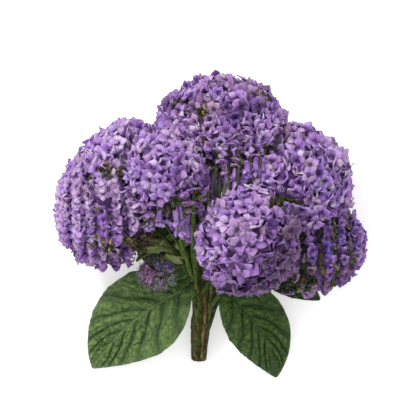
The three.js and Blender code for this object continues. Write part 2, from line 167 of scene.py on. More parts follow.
# The stem: its line from the cut end to the foot of the top head, and radii evenly along it.
STEM = dict(
    line=[(-6.6, -74, 3.5), (-6.4, -68, 4.3), (-6, -59, 7.8), (-5.2, -49, 12), (-5.5, -40, 16),
          (-7.4, -32, 19), (-8.5, -21, 22.5), (-9, -9, 25), (-8.6, 1, 25.8), (-7, 10.5, 25.2)],
    radii=(4.2, 4.9, 5.4, 4.7, 3.5, 2.7, 2.4, 2.3, 2.1),
    ribs=5,
    rib_depth=0.07,
)
# The arms under a head: how many, how far out they end as a share of the head's reach, their radii at both
# ends, and how deep they end in the core.
ARMS = dict(count=4, reach=0.56, radii=(1.5, 1.0), sunk=1.4)
# Strands on the front of the stem: x at four heights from the cut end to the fork, y from and to, radius,
# share of bark, and tone.
STRAND_HEIGHTS = (-74, -45, -20, 12)
STRANDS = [
    ((-9.2, -8.2, -9.4, -9.2), -58, 8, 1.6, 0.0, 0.62),
    ((-7.4, -5.6, -7.6, -7.4), -72, 4, 1.2, 0.25, 0.3),
    ((-5.6, -3.4, -4.6, -3.6), -73, -22, 1.3, 0.95, 0.6),
    ((-3.8, -2.2, -2.2, -1.0), -70, -26, 1.3, 0.5, 0.3),
    ((-8.6, -7.0, -6.6, -6.0), -73, -34, 1.0, 0.9, 0.5),
    ((-4.6, -1.2, 0.4, 2.0), -68, -30, 1.2, 0.8, 0.7),
    ((-6.6, -4.6, -5.6, -5.0), -73, -8, 0.9, 0.6, 0.35),
]
# Green shoots that show between the heads: their lines, radius and tone.
FRONT_SHOOTS = [
    ([(-9.2, 25, 70), (-9.5, 14, 72), (-9.6, 3, 66), (-9.5, -9, 51), (-9, -20, 31), (-9, -27, 25)],
     1.9, 0.62),
    ([(-15, 12, 60), (-16.6, 2, 55), (-16.2, -9, 43), (-13.6, -18, 34), (-10.6, -28, 26)], 1.2, 0.85),
    ([(-33, 1, 42), (-25, -7, 38), (-19, -14, 32), (-11.6, -24, 26)], 1.4, 0.35),
]
SHOOTS = [
    ([(-7, 24, 66), (-7, 17, 66), (-7.4, 9, 62)], 0.8, 0.1),
    ([(-1.8, 29, 60), (-1.6, 20, 60), (-1.8, 10, 57)], 0.9, 0.6),
    ([(2.4, 36, 60), (2, 26, 60), (2.4, 16, 57)], 0.8, 0.25), ([(4.8, 27, 60), (4.8, 16, 57)], 0.7, 0.4),
    ([(7.3, 27, 60), (7, 16, 58)], 0.8, 0.55), ([(15, 33, 60), (14.8, 23, 59)], 0.8, 0.3),
    ([(-26, 2, 40), (-18, -10, 34), (-11, -22, 27)], 0.9, 0.5),
]
SHOOT_WIDTHS = (0.2, 0.6, 0.8, 1.1, 0.9)  # from the tip down, as shares of the radius

# Small leaves at the fork and in the hollows between heads: foot, tip and half width. The last number is
# how light a small leaf is, and how dark a low one is.
SMALL_LEAVES = [
    ((-12.6, -18.4, 28), (-25, -15.2, 31), 2.6, 0.95), ((-19, -13, 29), (-34.5, -6.3, 31), 2.8, 0.8),
    ((-22.5, -10.7, 28), (-38.4, -13, 30), 2.6, 0.9), ((-8.8, -29.4, 23), (-18, -20.5, 27), 3.0, 0.5),
    ((-21, -4, 30), (-30, -15, 29), 2.4, 0.9), ((-14, -8, 30), (-26, -19, 28), 2.6, 0.75),
    ((-9, -26, 22), (-26, -20, 22), 3.8, 0.6), ((-16, -19, 25), (-30, -21, 25), 2.6, 0.85),
    ((41, -22, 30), (52, -36, 22), 3.2, 0.1), ((46, -24, 28), (56, -38, 20), 2.8, 0.2),
    ((-10, -5, 33), (-20, -12, 33), 2.2, 0.9), ((-28, -12, 29), (-40, -18, 28), 2.4, 0.7),
    ((-12, -17, 23), (-23, 9, 28), 6.0, 0.3), ((33, 14, 40), (31, 34, 36), 5.0, 0.1),
    ((36, 17.5, 53.5), (47, 10, 53), 3.6, 0.05), ((44, 18, 53), (38, 11, 53), 2.8, 0.1),
]
LOW_LEAVES = [
    ((-8.8, -22.8, 25), (-22, -29.4, 27.5), 3.2, 0.5), ((-7.7, -19.5, 25), (-18.5, -36, 25), 3.0, 0.75),
    ((-5.5, -42, 16.5), (3, -29, 14), 3.2, 0.8), ((-3, -48, 13), (5, -35, 11), 3.2, 0.7),
    ((-9, -31, 21), (-16, -41, 22), 3.4, 0.5), ((-12, -22, 23), (-24, -24, 25), 3.2, 0.8),
    ((-7, -30, 22), (-14, -21, 22), 3.2, 0.75),
]

# A leaf as in the model: bow moves the middle of the midrib sideways, arch lifts it, and roll turns the
# blade about it. dark and midrib are shares of dark green and of the pale midrib, the dark green in part
# painted shade where a leaf lies under the heads, and grid is how many points the blade has along and
# across.
LEAVES = {
    "leaf_left": dict(
        petiole=[(-7.4, -39.5, 16.5), (-11, -35, 18.4)], base=(-11.5, -34.3, 18.6), tip=(-65.8, -78.8, 0.3),
        bow=-5.8, arch=3.5, half_width=23, roll=0.06, veins=7, relief=1.3, dark=0.0, midrib=1,
        slot="leaf", grid=(190, 91),
    ),
    "leaf_right": dict(
        petiole=[(-3, -49, 14.5), (1, -42.5, 16.8)], base=(6, -35.6, 17.4), tip=(36.2, -83.9, 0.3),
        bow=6.3, arch=4, half_width=17.2, roll=-0.22, veins=7, relief=1.0, dark=0.5, midrib=0.15,
        slot="leaf", grid=(180, 81),
    ),
    "leaf_back_right": dict(
        petiole=[(20, -22.2, 12), (24, -23.4, 9.6)], base=(27, -24.6, 7.3), tip=(60.5, -40.8, 0.3),
        bow=1.5, arch=1, half_width=7.5, roll=0.1, veins=4, relief=0.5, dark=0.7, midrib=0.2,
        slot="dark_leaf", grid=(60, 25),
    ),
    "leaf_back_left": dict(
        petiole=[(-9, -25, 20.8), (-11, -21.6, 17.4)], base=(-13, -19.8, 16.2), tip=(-44, -7, 9),
        bow=-1.5, arch=1, half_width=12, roll=0, veins=4, relief=0.9, dark=0.1, midrib=0.5,
        slot="dark_leaf", grid=(70, 35),
    ),
    "leaf_back_middle": dict(
        petiole=[(-6.6, -34, 17.4), (-6, -29, 14.6)], base=(-5.6, -25, 13), tip=(1.5, 26, 2.5),
        bow=1.5, arch=1, half_width=11, roll=0, veins=5, relief=0.5, dark=0.8, midrib=0.2,
        slot="dark_leaf", grid=(60, 25),
    ),
}
# All leaves: how far lines across a blade sweep forward, and where it is widest, as a share of its length.
BLADE = dict(thickness=0.8, sweep=2.0, petiole_radii=(1.5, 1.2), widest_at=0.42)

# The photograph: millimetres to a pixel, and the pixel that the origin falls on.
PIXEL = 0.55
ORIGIN_PIXEL = (211.0, 226.5)
PHOTO_SIDE = 420
CAMERA_HEIGHT = 3000.0
FOCUS_HEIGHT = 35.0  # the height at which a pixel is PIXEL wide

# The studio, in metres and watts.
FLOOR_HALF_SIDE = 4.0
KEY_LIGHT = dict(place=(-0.8, 0.95, 1.1), size=0.5, power=17, colour=(1.0, 0.99, 0.97))
WORLD_STRENGTH = 0.85


# Vectors and numbers


def unit(v):
    v = np.asarray(v, float)
    return v / np.linalg.norm(v, axis=-1, keepdims=True)


def across(n):
    """Two unit vectors for each unit vector in n that make right-handed frames with it."""
    n = np.atleast_2d(n)
    helper = np.where(np.abs(n[:, 2:3]) < 0.9, [[0.0, 0.0, 1.0]], [[1.0, 0.0, 0.0]])
    u = unit(np.cross(helper, n))
    return u, np.cross(n, u)


def turns(count):
    """count angles evenly round a circle."""
    return 2 * math.pi * np.arange(count) / count


def fifths(count):
    """The angles of five petals, count times over."""
    return np.tile(np.arange(5), count) * 2 * math.pi / 5


def spokes(u, v, angle):
    """Unit vectors at each angle from u towards v."""
    angle = np.reshape(angle, (-1, 1))
    return u * np.cos(angle) + v * np.sin(angle)


def smoothstep(low, high, x):
    t = np.clip((np.asarray(x, float) - low) / (high - low), 0, 1)
    return t * t * (3 - 2 * t)


def dice(*words):
    """A seeded generator of its own for each use, so that one piece's draws don't move another's."""
    return np.random.default_rng([SEED, *(sum(map(ord, word)) for word in words)])


def value_noise(points, size, seed):
    """Smooth noise from -1 to 1 at points, with lumps about size across."""
    place = np.asarray(points, float) / size
    cell = np.floor(place).astype(np.int64)
    part = place - cell
    part = part * part * (3 - 2 * part)
    total = np.zeros(place.shape[:-1])
    for corner in range(8):
        step = np.array([corner & 1, corner >> 1 & 1, corner >> 2 & 1])
        x, y, z = np.moveaxis(cell + step, -1, 0)
        mixed = (x * 73856093 ^ y * 19349663 ^ z * 83492791 ^ seed * 2654435761) & 0xFFFFFFFF
        mixed = (mixed ^ mixed >> 13) * 1274126177 & 0xFFFFFFFF
        weight = np.prod(np.where(step, part, 1 - part), axis=-1)
        total += weight * ((mixed & 0xFFFF) / 32767.5 - 1)
    return total


def far_enough(points, least):
    """Numbers of the points that are more than least away from every one kept before them."""
    kept = []
    for i, point in enumerate(points):
        if not kept or np.min(np.sum((points[kept] - point) ** 2, axis=1)) > least[i] ** 2:
            kept.append(i)
    return kept


def tints(count, red=0.0, green=0.0, blue=0.0, alpha=0.0):
    """A tint for each of count points or parts, from a number or an array for each channel."""
    rows = np.zeros((count, 4))
    for channel, value in enumerate((red, green, blue, alpha)):
        rows[:, channel] = value
    return rows


# Meshes


class Shell:
    """Points, faces and a tint for each point, gathered for one mesh. Points are in millimetres."""

    def __init__(self):
        self.points, self.tints, self.faces, self.count = [], [], [], 0

    def add(self, points, faces, tint):
        """faces is a list of arrays of corner numbers, one array for each number of corners."""
        points = np.asarray(points, float).reshape(-1, 3)
        self.faces += [np.asarray(f) + self.count for f in faces]
        self.points.append(points)
        self.tints.append(np.broadcast_to(np.asarray(tint, float), (len(points), 4)))
        self.count += len(points)


def placed(name, data):
    """A new object in the scene."""
    obj = bpy.data.objects.new(name, data)
    bpy.context.scene.collection.objects.link(obj)
    return obj


def make_object(name, shell, material, replaced=()):
    points = np.concatenate(shell.points)
    points[:, 2] = np.maximum(points[:, 2], FLOOR_GAP)
    corners = np.concatenate([f.ravel() for f in shell.faces])
    sizes = np.concatenate([np.full(len(f), f.shape[1]) for f in shell.faces])
    starts = np.concatenate([[0], np.cumsum(sizes)[:-1]])
    mesh = bpy.data.meshes.new(name)
    mesh.vertices.add(len(points))
    mesh.vertices.foreach_set("co", (points * MM).astype(np.float32).ravel())
    mesh.loops.add(len(corners))
    mesh.loops.foreach_set("vertex_index", corners.astype(np.int32))
    mesh.polygons.add(len(sizes))
    mesh.polygons.foreach_set("loop_start", starts.astype(np.int32))
    mesh.polygons.foreach_set("use_smooth", np.ones(len(sizes), bool))
    tint = mesh.color_attributes.new("tint", "FLOAT_COLOR", "POINT")
    tint.data.foreach_set("color", np.concatenate(shell.tints).astype(np.float32).ravel())
    mesh.update(calc_edges=True)
    mesh.materials.append(material)
    obj = placed(name, mesh)
    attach(obj, "root")
    if replaced:
        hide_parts(*replaced)


def ring_faces(count, rings, sides):
    """Faces of count closed lathes, each of rings by sides points: walls as quads, ends as polygons."""
    start = np.arange(count)[:, None, None] * rings * sides
    ring = np.arange(rings - 1)[None, :, None] * sides
    side = np.arange(sides)[None, None, :]
    a, b = start + ring + side, start + ring + (side + 1) % sides
    walls = np.stack([a, b, b + sides, a + sides], axis=-1).reshape(-1, 4)
    low = (start[:, 0] + np.arange(sides)[None, ::-1]).reshape(-1, sides)
    high = (start[:, 0] + (rings - 1) * sides + np.arange(sides)[None]).reshape(-1, sides)
    return [walls, low, high]


def lathes(shell, origins, axes, heights, radii, sides, tint, bend=0.0):
    """A closed lathe at each origin along its axis. heights and radii have a row of rings for each, tint
    is one colour for all, one for each lathe or one for each ring, and bend moves each ring."""
    origins, axes = np.atleast_2d(origins), unit(np.atleast_2d(axes))
    heights = np.broadcast_to(heights, (len(origins), np.shape(heights)[-1]))
    radii = np.broadcast_to(radii, heights.shape)
    u, v = across(axes)
    angle = turns(sides)
    around = u[:, None] * np.cos(angle)[None, :, None] + v[:, None] * np.sin(angle)[None, :, None]
    spine = origins[:, None] + axes[:, None] * heights[..., None] + bend
    points = spine[:, :, None] + around[:, None] * radii[..., None, None]
    tint = np.asarray(tint, float)
    while tint.ndim < 3:
        tint = tint[..., None, :]
    tint = np.broadcast_to(tint[:, :, None], (*points.shape[:3], 4)).reshape(-1, 4)
    shell.add(points, ring_faces(len(origins), heights.shape[1], sides), tint)


def ball(axes, rings, sides, cap):
    """Unit vectors on a ball round the first of three axes, but for cap radians at its poles, and faces."""
    theta = np.linspace(cap, math.pi - cap, rings)[:, None]
    phi = turns(sides)[None]
    parts = (np.cos(theta), np.sin(theta) * np.cos(phi), np.sin(theta) * np.sin(phi))
    way = sum(part[..., None] * np.array(axis) for part, axis in zip(parts, axes))
    return way, [f[:, ::-1] for f in ring_faces(1, rings, sides)]


def smooth_line(points, count):
    """count points evenly along the centripetal curve through the given ones."""
    p = np.asarray(points, float)
    p = np.concatenate([[2 * p[0] - p[1]], p, [2 * p[-1] - p[-2]]])

    def between(a, b, low, high):
        return ((high - t) * a + (t - low) * b) / (high - low)

    fine = []
    for i in range(1, len(p) - 2):
        near = p[i - 1:i + 3]
        k = np.concatenate([[0], np.cumsum(np.sqrt(np.linalg.norm(np.diff(near, axis=0), axis=1)))])
        t = np.linspace(k[1], k[2], 24, endpoint=False)[:, None]
        lines = [between(near[j], near[j + 1], k[j], k[j + 1]) for j in range(3)]
        curves = [between(lines[j], lines[j + 1], k[j], k[j + 2]) for j in range(2)]
        fine.append(between(*curves, k[1], k[2]))
    fine = np.concatenate([*fine, p[-2:-1]])
    run = np.concatenate([[0], np.cumsum(np.linalg.norm(np.diff(fine, axis=0), axis=1))])
    at = np.linspace(0, run[-1], count)
    return np.stack([np.interp(at, run, fine[:, k]) for k in range(3)], axis=1)


def sweep(shell, line, radii, sides, rings, tint, ribs=0, rib_depth=0.0, rough=0.0):
    """A closed tube along a smooth line with its radii spread evenly along it. tint is one colour for all
    or one for each ring."""
    spine = smooth_line(line, rings)
    tangent = unit(np.gradient(spine, axis=0))
    normals = [across(tangent[0])[0][0]]
    for t in tangent:
        normals.append(unit(normals[-1] - t * np.dot(normals[-1], t)))
    normals = np.array(normals[1:])
    share = np.linspace(0, 1, rings)
    radius = np.interp(share, np.linspace(0, 1, len(radii)), radii)
    angle = turns(sides)
    reach = radius[:, None] * (1 + rib_depth * np.cos(ribs * angle[None] + 2 * share[:, None]))
    around = normals[:, None] * np.cos(angle)[None, :, None]
    around = around + np.cross(tangent, normals)[:, None] * np.sin(angle)[None, :, None]
    points = spine[:, None] + around * reach[..., None]
    points += around * (rough * value_noise(points * (1, 0.35, 1), 1.3, 3))[..., None]
    if np.ndim(tint) == 2:
        tint = np.repeat(tint, sides, axis=0)
    shell.add(points, ring_faces(1, rings, sides), tint)


# Materials


def srgb(r, g, b):
    """A linear colour from the 0 to 255 numbers that a screen shows."""
    c = np.array([r, g, b]) / 255
    return tuple(float(x) for x in np.where(c <= 0.04045, c / 12.92, ((c + 0.055) / 1.055) ** 2.4))


class Look:
    """A node material with one shader, and short calls to wire what leads to it. Colours are 0 to 255."""

    def __init__(self, name, roughness, specular=0.5, **constants):
        self.material = bpy.data.materials.new(name)
        self.material.use_nodes = True
        self.nodes = self.material.node_tree.nodes
        self.links = self.material.node_tree.links
        self.nodes.clear()
        self.shader = self.nodes.new("ShaderNodeBsdfPrincipled")
        output = self.nodes.new("ShaderNodeOutputMaterial")
        self.links.new(self.shader.outputs[0], output.inputs[0])
        for socket, value in {"Roughness": roughness, "Specular IOR Level": specular, **constants}.items():
            self.shader.inputs[socket].default_value = value
        self.place = self.nodes.new("ShaderNodeTexCoord").outputs["Object"]

    def attribute(self):
        """The tint's red, green, blue and alpha, each as a number."""
        node = self.nodes.new("ShaderNodeAttribute")
        node.attribute_name = "tint"
        split = self.nodes.new("ShaderNodeSeparateColor")
        self.links.new(node.outputs["Color"], split.inputs[0])
        return [*split.outputs, node.outputs["Alpha"]]

    def wire(self, value, socket):
        if isinstance(value, bpy.types.NodeSocket):
            self.links.new(value, socket)
        elif isinstance(value, tuple):
            socket.default_value = (*srgb(*value), 1)
        else:
            socket.default_value = value

    def math(self, kind, a, b=0.0, clamp=False):
        node = self.nodes.new("ShaderNodeMath")
        node.operation = kind
        node.use_clamp = clamp
        self.wire(a, node.inputs[0])
        self.wire(b, node.inputs[1])
        return node.outputs[0]

    def uneven(self, value, noise, amount, clamp=False):
        """value moved up and down by noise, over amount in all."""
        moved = self.math("MULTIPLY", self.math("SUBTRACT", noise, 0.5), amount)
        return self.math("ADD", value, moved, clamp)

    def ramp(self, value, *stops):
        """The colour at value, from stops of a position and a colour."""
        node = self.nodes.new("ShaderNodeValToRGB")
        self.links.new(value, node.inputs[0])
        while len(node.color_ramp.elements) < len(stops):
            node.color_ramp.elements.new(0.5)
        for element, (position, *colour) in zip(node.color_ramp.elements, stops):
            element.position = position
            element.color = (*srgb(*colour), 1)
        return node.outputs[0]

    def mix(self, share, a, b, blend="MIX"):
        node = self.nodes.new("ShaderNodeMix")
        node.data_type = "RGBA"
        node.blend_type = blend
        self.wire(share, node.inputs["Factor"])
        self.wire(a, node.inputs[6])
        self.wire(b, node.inputs[7])
        return node.outputs[2]

    def towards(self, body, share, amount, colour):
        """body with amount times share of a colour over it."""
        return self.mix(self.math("MULTIPLY", share, amount), body, colour)

    def noise(self, size_mm, detail=2.0, stretch=None):
        node = self.nodes.new("ShaderNodeTexNoise")
        node.inputs["Scale"].default_value = 1 / (size_mm * MM)
        node.inputs["Detail"].default_value = detail
        place = self.place
        if stretch:
            mapping = self.nodes.new("ShaderNodeMapping")
            mapping.inputs["Scale"].default_value = stretch
            self.links.new(place, mapping.inputs[0])
            place = mapping.outputs[0]
        self.links.new(place, node.inputs["Vector"])
        return node.outputs[0]

    def cell_edges(self, size_mm):
        """How far a place is from the edges of cells about size_mm across, as a share of that."""
        node = self.nodes.new("ShaderNodeTexVoronoi")
        node.feature = "DISTANCE_TO_EDGE"
        node.inputs["Scale"].default_value = 1 / (size_mm * MM)
        self.links.new(self.place, node.inputs["Vector"])
        return node.outputs[0]

    def bump(self, height, depth_mm, strength=0.6):
        node = self.nodes.new("ShaderNodeBump")
        node.inputs["Strength"].default_value = strength
        node.inputs["Distance"].default_value = depth_mm * MM
        self.links.new(height, node.inputs["Height"])
        self.links.new(node.outputs[0], self.shader.inputs["Normal"])

    def colour(self, socket):
        self.links.new(socket, self.shader.inputs["Base Color"])
        return self.material


def petal_look():
    """Tint: red is nearness to the rim, green nearness to the throat, blue the tone, and alpha the share
    of cream, or below 0 the share of blue."""
    look = Look("petals", 0.5, 0.25, **{
        "Sheen Weight": 0.04, "Subsurface Weight": 0.45, "Subsurface Radius": (1.0, 0.5, 1.2),
        "Subsurface Scale": 1.8 * MM,
    })
    rim, throat, tone, cream = look.attribute()
    tone = look.uneven(tone, look.noise(2.0, 4.0), 0.5)
    body = look.ramp(
        tone, (0.0, 80, 47, 102), (0.15, 110, 70, 140), (0.33, 142, 98, 177), (0.6, 174, 133, 206),
        (1.0, 214, 184, 232),
    )
    bluer = look.mix(1.0, body, (156, 142, 250), "MULTIPLY")
    body = look.mix(look.math("MULTIPLY", cream, -1.0, True), body, bluer)
    # Paler towards the rim: partly the petals' own pale edge, partly painted highlight. Darker towards the
    # throat: painted shade deep in the floret.
    body = look.towards(body, rim, 0.25, (220, 190, 240))
    body = look.towards(body, throat, 0.6, (100, 60, 122))
    body = look.mix(look.math("MAXIMUM", cream, 0.0), body, (200, 178, 142))
    look.bump(look.math("ADD", look.noise(0.5, 3.0), look.noise(1.4, 2.0)), 0.16)
    return look.colour(body)


def calyx_look():
    """Tint: blue is the tone from dark to light, and alpha the share of tan."""
    look = Look("calyx_green", 0.55, 0.4, **{"Sheen Weight": 0.1})
    _, _, tone, tan = look.attribute()
    tone = look.uneven(tone, look.noise(1.6, 3.0), 0.7)
    green = look.ramp(tone, (0.05, 34, 42, 20), (0.5, 76, 90, 42), (0.95, 138, 151, 90))
    brown = look.ramp(tone, (0.05, 70, 48, 30), (0.5, 142, 116, 76), (0.95, 206, 180, 146))
    look.bump(look.noise(0.45, 3.0), 0.15)
    return look.colour(look.mix(tan, green, brown))


def stem_look():
    """Tint: red is the tone, green the share of brown bark."""
    look = Look("stem", 0.65, 0.2, **{"Sheen Weight": 0.03})
    tone, bark, _, _ = look.attribute()
    tone = look.uneven(tone, look.noise(1.8, 6.0, (1.0, 0.6, 1.0)), 1.7)
    green = look.ramp(tone, (0.0, 16, 28, 0), (0.45, 46, 70, 10), (1.0, 106, 128, 48))
    brown = look.ramp(tone, (0.0, 30, 22, 2), (0.45, 74, 62, 22), (1.0, 150, 130, 84))
    look.bump(look.noise(0.7, 5.0, (1.0, 0.25, 1.0)), 0.6, 1.0)
    return look.colour(look.mix(look.uneven(bark, look.noise(3.0, 4.0), 2.2, True), green, brown))


def leaf_look():
    """Tint: red is the height over the veins, lighter on the crests as painted highlight and darker in the
    creases as painted shade, green nearness to the veins and creases, darker partly as their own colour and
    partly as painted shade, blue how dark the leaf is, partly as painted shade under the heads, and alpha
    the share of the pale midrib."""
    look = Look("leaf", 0.34, 0.7, **{
        "Subsurface Weight": 0.05, "Subsurface Radius": (0.5, 0.9, 0.2), "Subsurface Scale": 0.8 * MM,
    })
    height, vein_and_crease_shade, dark, midrib = look.attribute()
    shine = look.math("SUBTRACT", 0.85, look.math("MULTIPLY", dark, 0.85), True)
    look.wire(shine, look.shader.inputs["Specular IOR Level"])
    tone = look.uneven(height, look.noise(2.6, 5.0), 0.8)
    # Lighter crests are painted highlight; darker veins and creases are partly their own colour, partly
    # painted shade.
    body = look.ramp(
        tone, (0.0, 26, 56, 0), (0.35, 62, 98, 10), (0.7, 104, 134, 54), (1.0, 154, 176, 112),
    )
    body = look.towards(body, vein_and_crease_shade, 0.6, (36, 62, 6))
    # The darker green, in part painted shade where a leaf lies under the heads.
    deep = look.ramp(tone, (0.0, 8, 28, 0), (0.5, 22, 52, 0), (1.0, 54, 88, 16))
    body = look.towards(look.mix(dark, body, deep), midrib, 0.7, (126, 148, 88))
    net = look.math("MULTIPLY", look.math("MINIMUM", look.cell_edges(1.1), 0.2), 3.0)
    look.bump(look.math("ADD", net, look.math("MULTIPLY", look.noise(0.5, 3.0), 0.6)), 0.4, 0.9)
    return look.colour(body)


def bud_look():
    """Tint: red is the tone, green the share of pink and blue the share of blue."""
    look = Look("buds", 0.6, 0.3, **{"Sheen Weight": 0.2})
    tone, pink, blue, _ = look.attribute()
    tone = look.uneven(tone, look.noise(1.0, 3.0), 0.6)
    body = look.ramp(tone, (0.1, 50, 66, 48), (0.5, 92, 95, 90), (0.9, 152, 134, 154))
    look.bump(look.noise(0.3, 3.0), 0.1)
    return look.colour(look.towards(look.mix(blue, body, (128, 112, 192)), pink, 0.85, (184, 112, 180)))


def hair_look():
    look = Look("hair", 0.6, 0.4)
    return look.colour(look.ramp(look.noise(1.6, 3.0), (0.35, 124, 120, 112), (0.65, 214, 210, 208)))


# Flower heads


class Head:
    """A head's sizes, and where things are on its dome. Places on the dome are from its centre."""

    def __init__(self, name, **sizes):
        self.name = name
        vars(self).update(HEAD_DEFAULTS, **sizes)
        self.centre, self.radii = np.array(self.centre, float), np.array(self.radii, float)
        self.pole, self.rows = unit(self.pole), np.array(self.rows, float)
        self.gaps = (self.rows[1:] + self.rows[:-1]) / 2
        self.sides = [a[0] for a in across(self.pole)]

    def turned(self, v, way=1):
        """v turned with the ellipsoid about the vertical, or back with way -1."""
        angle = way * math.radians(self.turn)
        c, s = math.cos(angle), math.sin(angle)
        x, y, z = np.moveaxis(v, -1, 0)
        return np.stack([c * x - s * y, s * x + c * y, z], axis=-1)

    def reach(self, n, less=0.0):
        """How far the head's ellipsoid, or one smaller by less, reaches along unit vectors."""
        return 1 / np.linalg.norm(self.turned(n, -1) / (self.radii - less), axis=-1)

    def core_start(self):
        """How far along the pole the cut underside of the core is."""
        return CORE_END * math.cos(math.radians(self.open)) * float(self.reach(self.pole))

    def in_rows(self, at):
        """How far the florets at each place stand in hanging rows, from 0 to 1."""
        if not len(self.rows):
            return np.zeros(at.shape[:-1])
        return smoothstep(*self.formed, at[..., 1] / self.radii[1])

    def row_size(self, at):
        """Size and spacing of the florets at each place, as a share of those that aren't in rows."""
        return 1 - (1 - FLORET["in_row"]) * self.in_rows(at)

    def row_x(self, at):
        """x in the frame, moved so that a row which is straight in it waves a little on the dome."""
        return at[..., 0] + self.centre[0] + self.row_wave(at)

    def row_wave(self, at):
        return 1.8 * value_noise((at + self.centre) * (0.4, 1, 0.4), 9, 31)

    def groove(self, at):
        """How deep in a gap between two hanging rows each place is, from 0 to 1."""
        if not len(self.rows):
            return np.zeros(at.shape[:-1])
        from_gap = np.min(np.abs(self.row_x(at)[..., None] - self.gaps), axis=-1)
        half_width, unbroken, _ = self.gap
        open_here = smoothstep(-0.5 - unbroken, 0.1 - unbroken, value_noise(at + (40, 0, 0), 6, 17))
        width = half_width * open_here + 0.01
        return self.in_rows(at) * smoothstep(1.7, 0.3, from_gap / width) * open_here

    def on_dome(self, at):
        far = np.linalg.norm(at, axis=-1, keepdims=True)
        return at / far * self.reach(at / far)[..., None]

    def gathered(self, at):
        """Places drawn sideways towards the middles of the hanging rows, each on the dome."""
        if not len(self.rows):
            return at
        x = self.row_x(at)
        own = self.rows[np.argmin(np.abs(x[:, None] - self.rows), axis=1)]
        step = np.clip(own - x, -ROW_PULL, ROW_PULL) * 0.6 * self.in_rows(at)
        return self.on_dome(at + step[:, None] * (1, 0, 0))

    def pleated(self, points):
        """Points of the head in the frame drawn inwards in the gaps between its rows."""
        at = points - self.centre
        far = np.linalg.norm(at, axis=1, keepdims=True)
        deep = smoothstep(0.55, 0.9, far[:, 0] / self.reach(at / far))
        return points - at / far * (GAP_DEPTH * self.groove(at) * deep)[:, None] * (0, 1, 1)

    def contact_planes(self):
        """Each head that this one presses on, the unit vector to it and the plane's distance."""
        planes = []
        for pair in PRESSED_TOGETHER:
            if self.name in pair:
                other = HEADS[pair[1] if self.name == pair[0] else pair[0]]
                between = other.centre - self.centre
                n = unit(between)
                share = self.reach(n) / (self.reach(n) + other.reach(-n))
                planes.append((other, n, float(np.linalg.norm(between) * share - CONTACT_GAP)))
        return planes

    def dome(self):
        """Places on the dome with their normals and angles from the pole: on rings from the pole outwards,
        every place that is far enough from those before it."""
        pole = self.turned(self.pole, -1)
        u, v = (a[0] for a in across(pole))
        step = 0.3 * self.spacing / self.radii.max()
        ways, angles = [], []
        for theta in np.arange(0, math.radians(self.open), step):
            count = max(1, round(2 * math.pi * math.sin(theta) / step))
            ways.append(math.cos(theta) * pole + math.sin(theta) * spokes(u, v, turns(count) + 2 * theta))
            angles += [theta] * count
        way = np.concatenate(ways)
        at = way * self.radii
        kept = far_enough(at, self.spacing * self.row_size(self.turned(at)))
        return self.turned(at[kept]), self.turned(unit(way[kept] / self.radii)), np.array(angles)[kept]

    def pressed_dome(self):
        """The dome's places with those past a contact plane slid back on it, where they show. What another
        head hides, what the surface cuts off and what comes too close to an earlier place is dropped."""
        at, normal, theta = self.dome()
        at = self.gathered(at)
        keep = at[:, 2] + self.centre[2] > -0.5
        for other, n, distance in self.contact_planes():
            past = at @ n - (distance - 0.5)
            slid = past > 0
            at[slid] -= past[slid, None] * n
            normal[slid] = unit(normal[slid] + 0.9 * n)
            place = at + self.centre - other.centre
            far = np.linalg.norm(place, axis=1)
            keep &= ~(slid & (far < 0.9 * other.reach(place / far[:, None])))
        at, normal, theta = at[keep], normal[keep], theta[keep]
        kept = far_enough(at, 0.7 * FLORET["spacing"] * self.row_size(at))
        return at[kept], normal[kept], theta[kept]


HEADS = {name: Head(name, **sizes) for name, sizes in HEAD_SIZES.items()}
BUD_HEAD = Head("bud", **BUD_SIZES)

# Places along and across a petal that its grid has, for florets and for the small green parts.
FINE = (np.array([0.0, 0.25, 0.5, 0.72, 0.89, 1.0]), np.array([-1.0, -0.52, 0.0, 0.52, 1.0]))
COARSE = (np.array([0.0, 0.4, 0.75, 1.0]), np.array([-1.0, 0.0, 1.0]))


def petal_grid(nu, nv):
    """Corner numbers of the faces of one petal: an upper sheet and a lower sheet that share their rim."""
    upper = np.arange(nu * nv).reshape(nu, nv)
    lower = upper.copy()
    lower[1:-1, 1:-1] = nu * nv + np.arange((nu - 2) * (nv - 2)).reshape(nu - 2, nv - 2)
    quads = []
    for sheet, order in ((upper, (0, 1, 2, 3)), (lower, (3, 2, 1, 0))):
        corners = [sheet[:-1, :-1], sheet[1:, :-1], sheet[1:, 1:], sheet[:-1, 1:]]
        quads.append(np.stack([corners[k].ravel() for k in order], axis=1))
    return np.concatenate(quads)


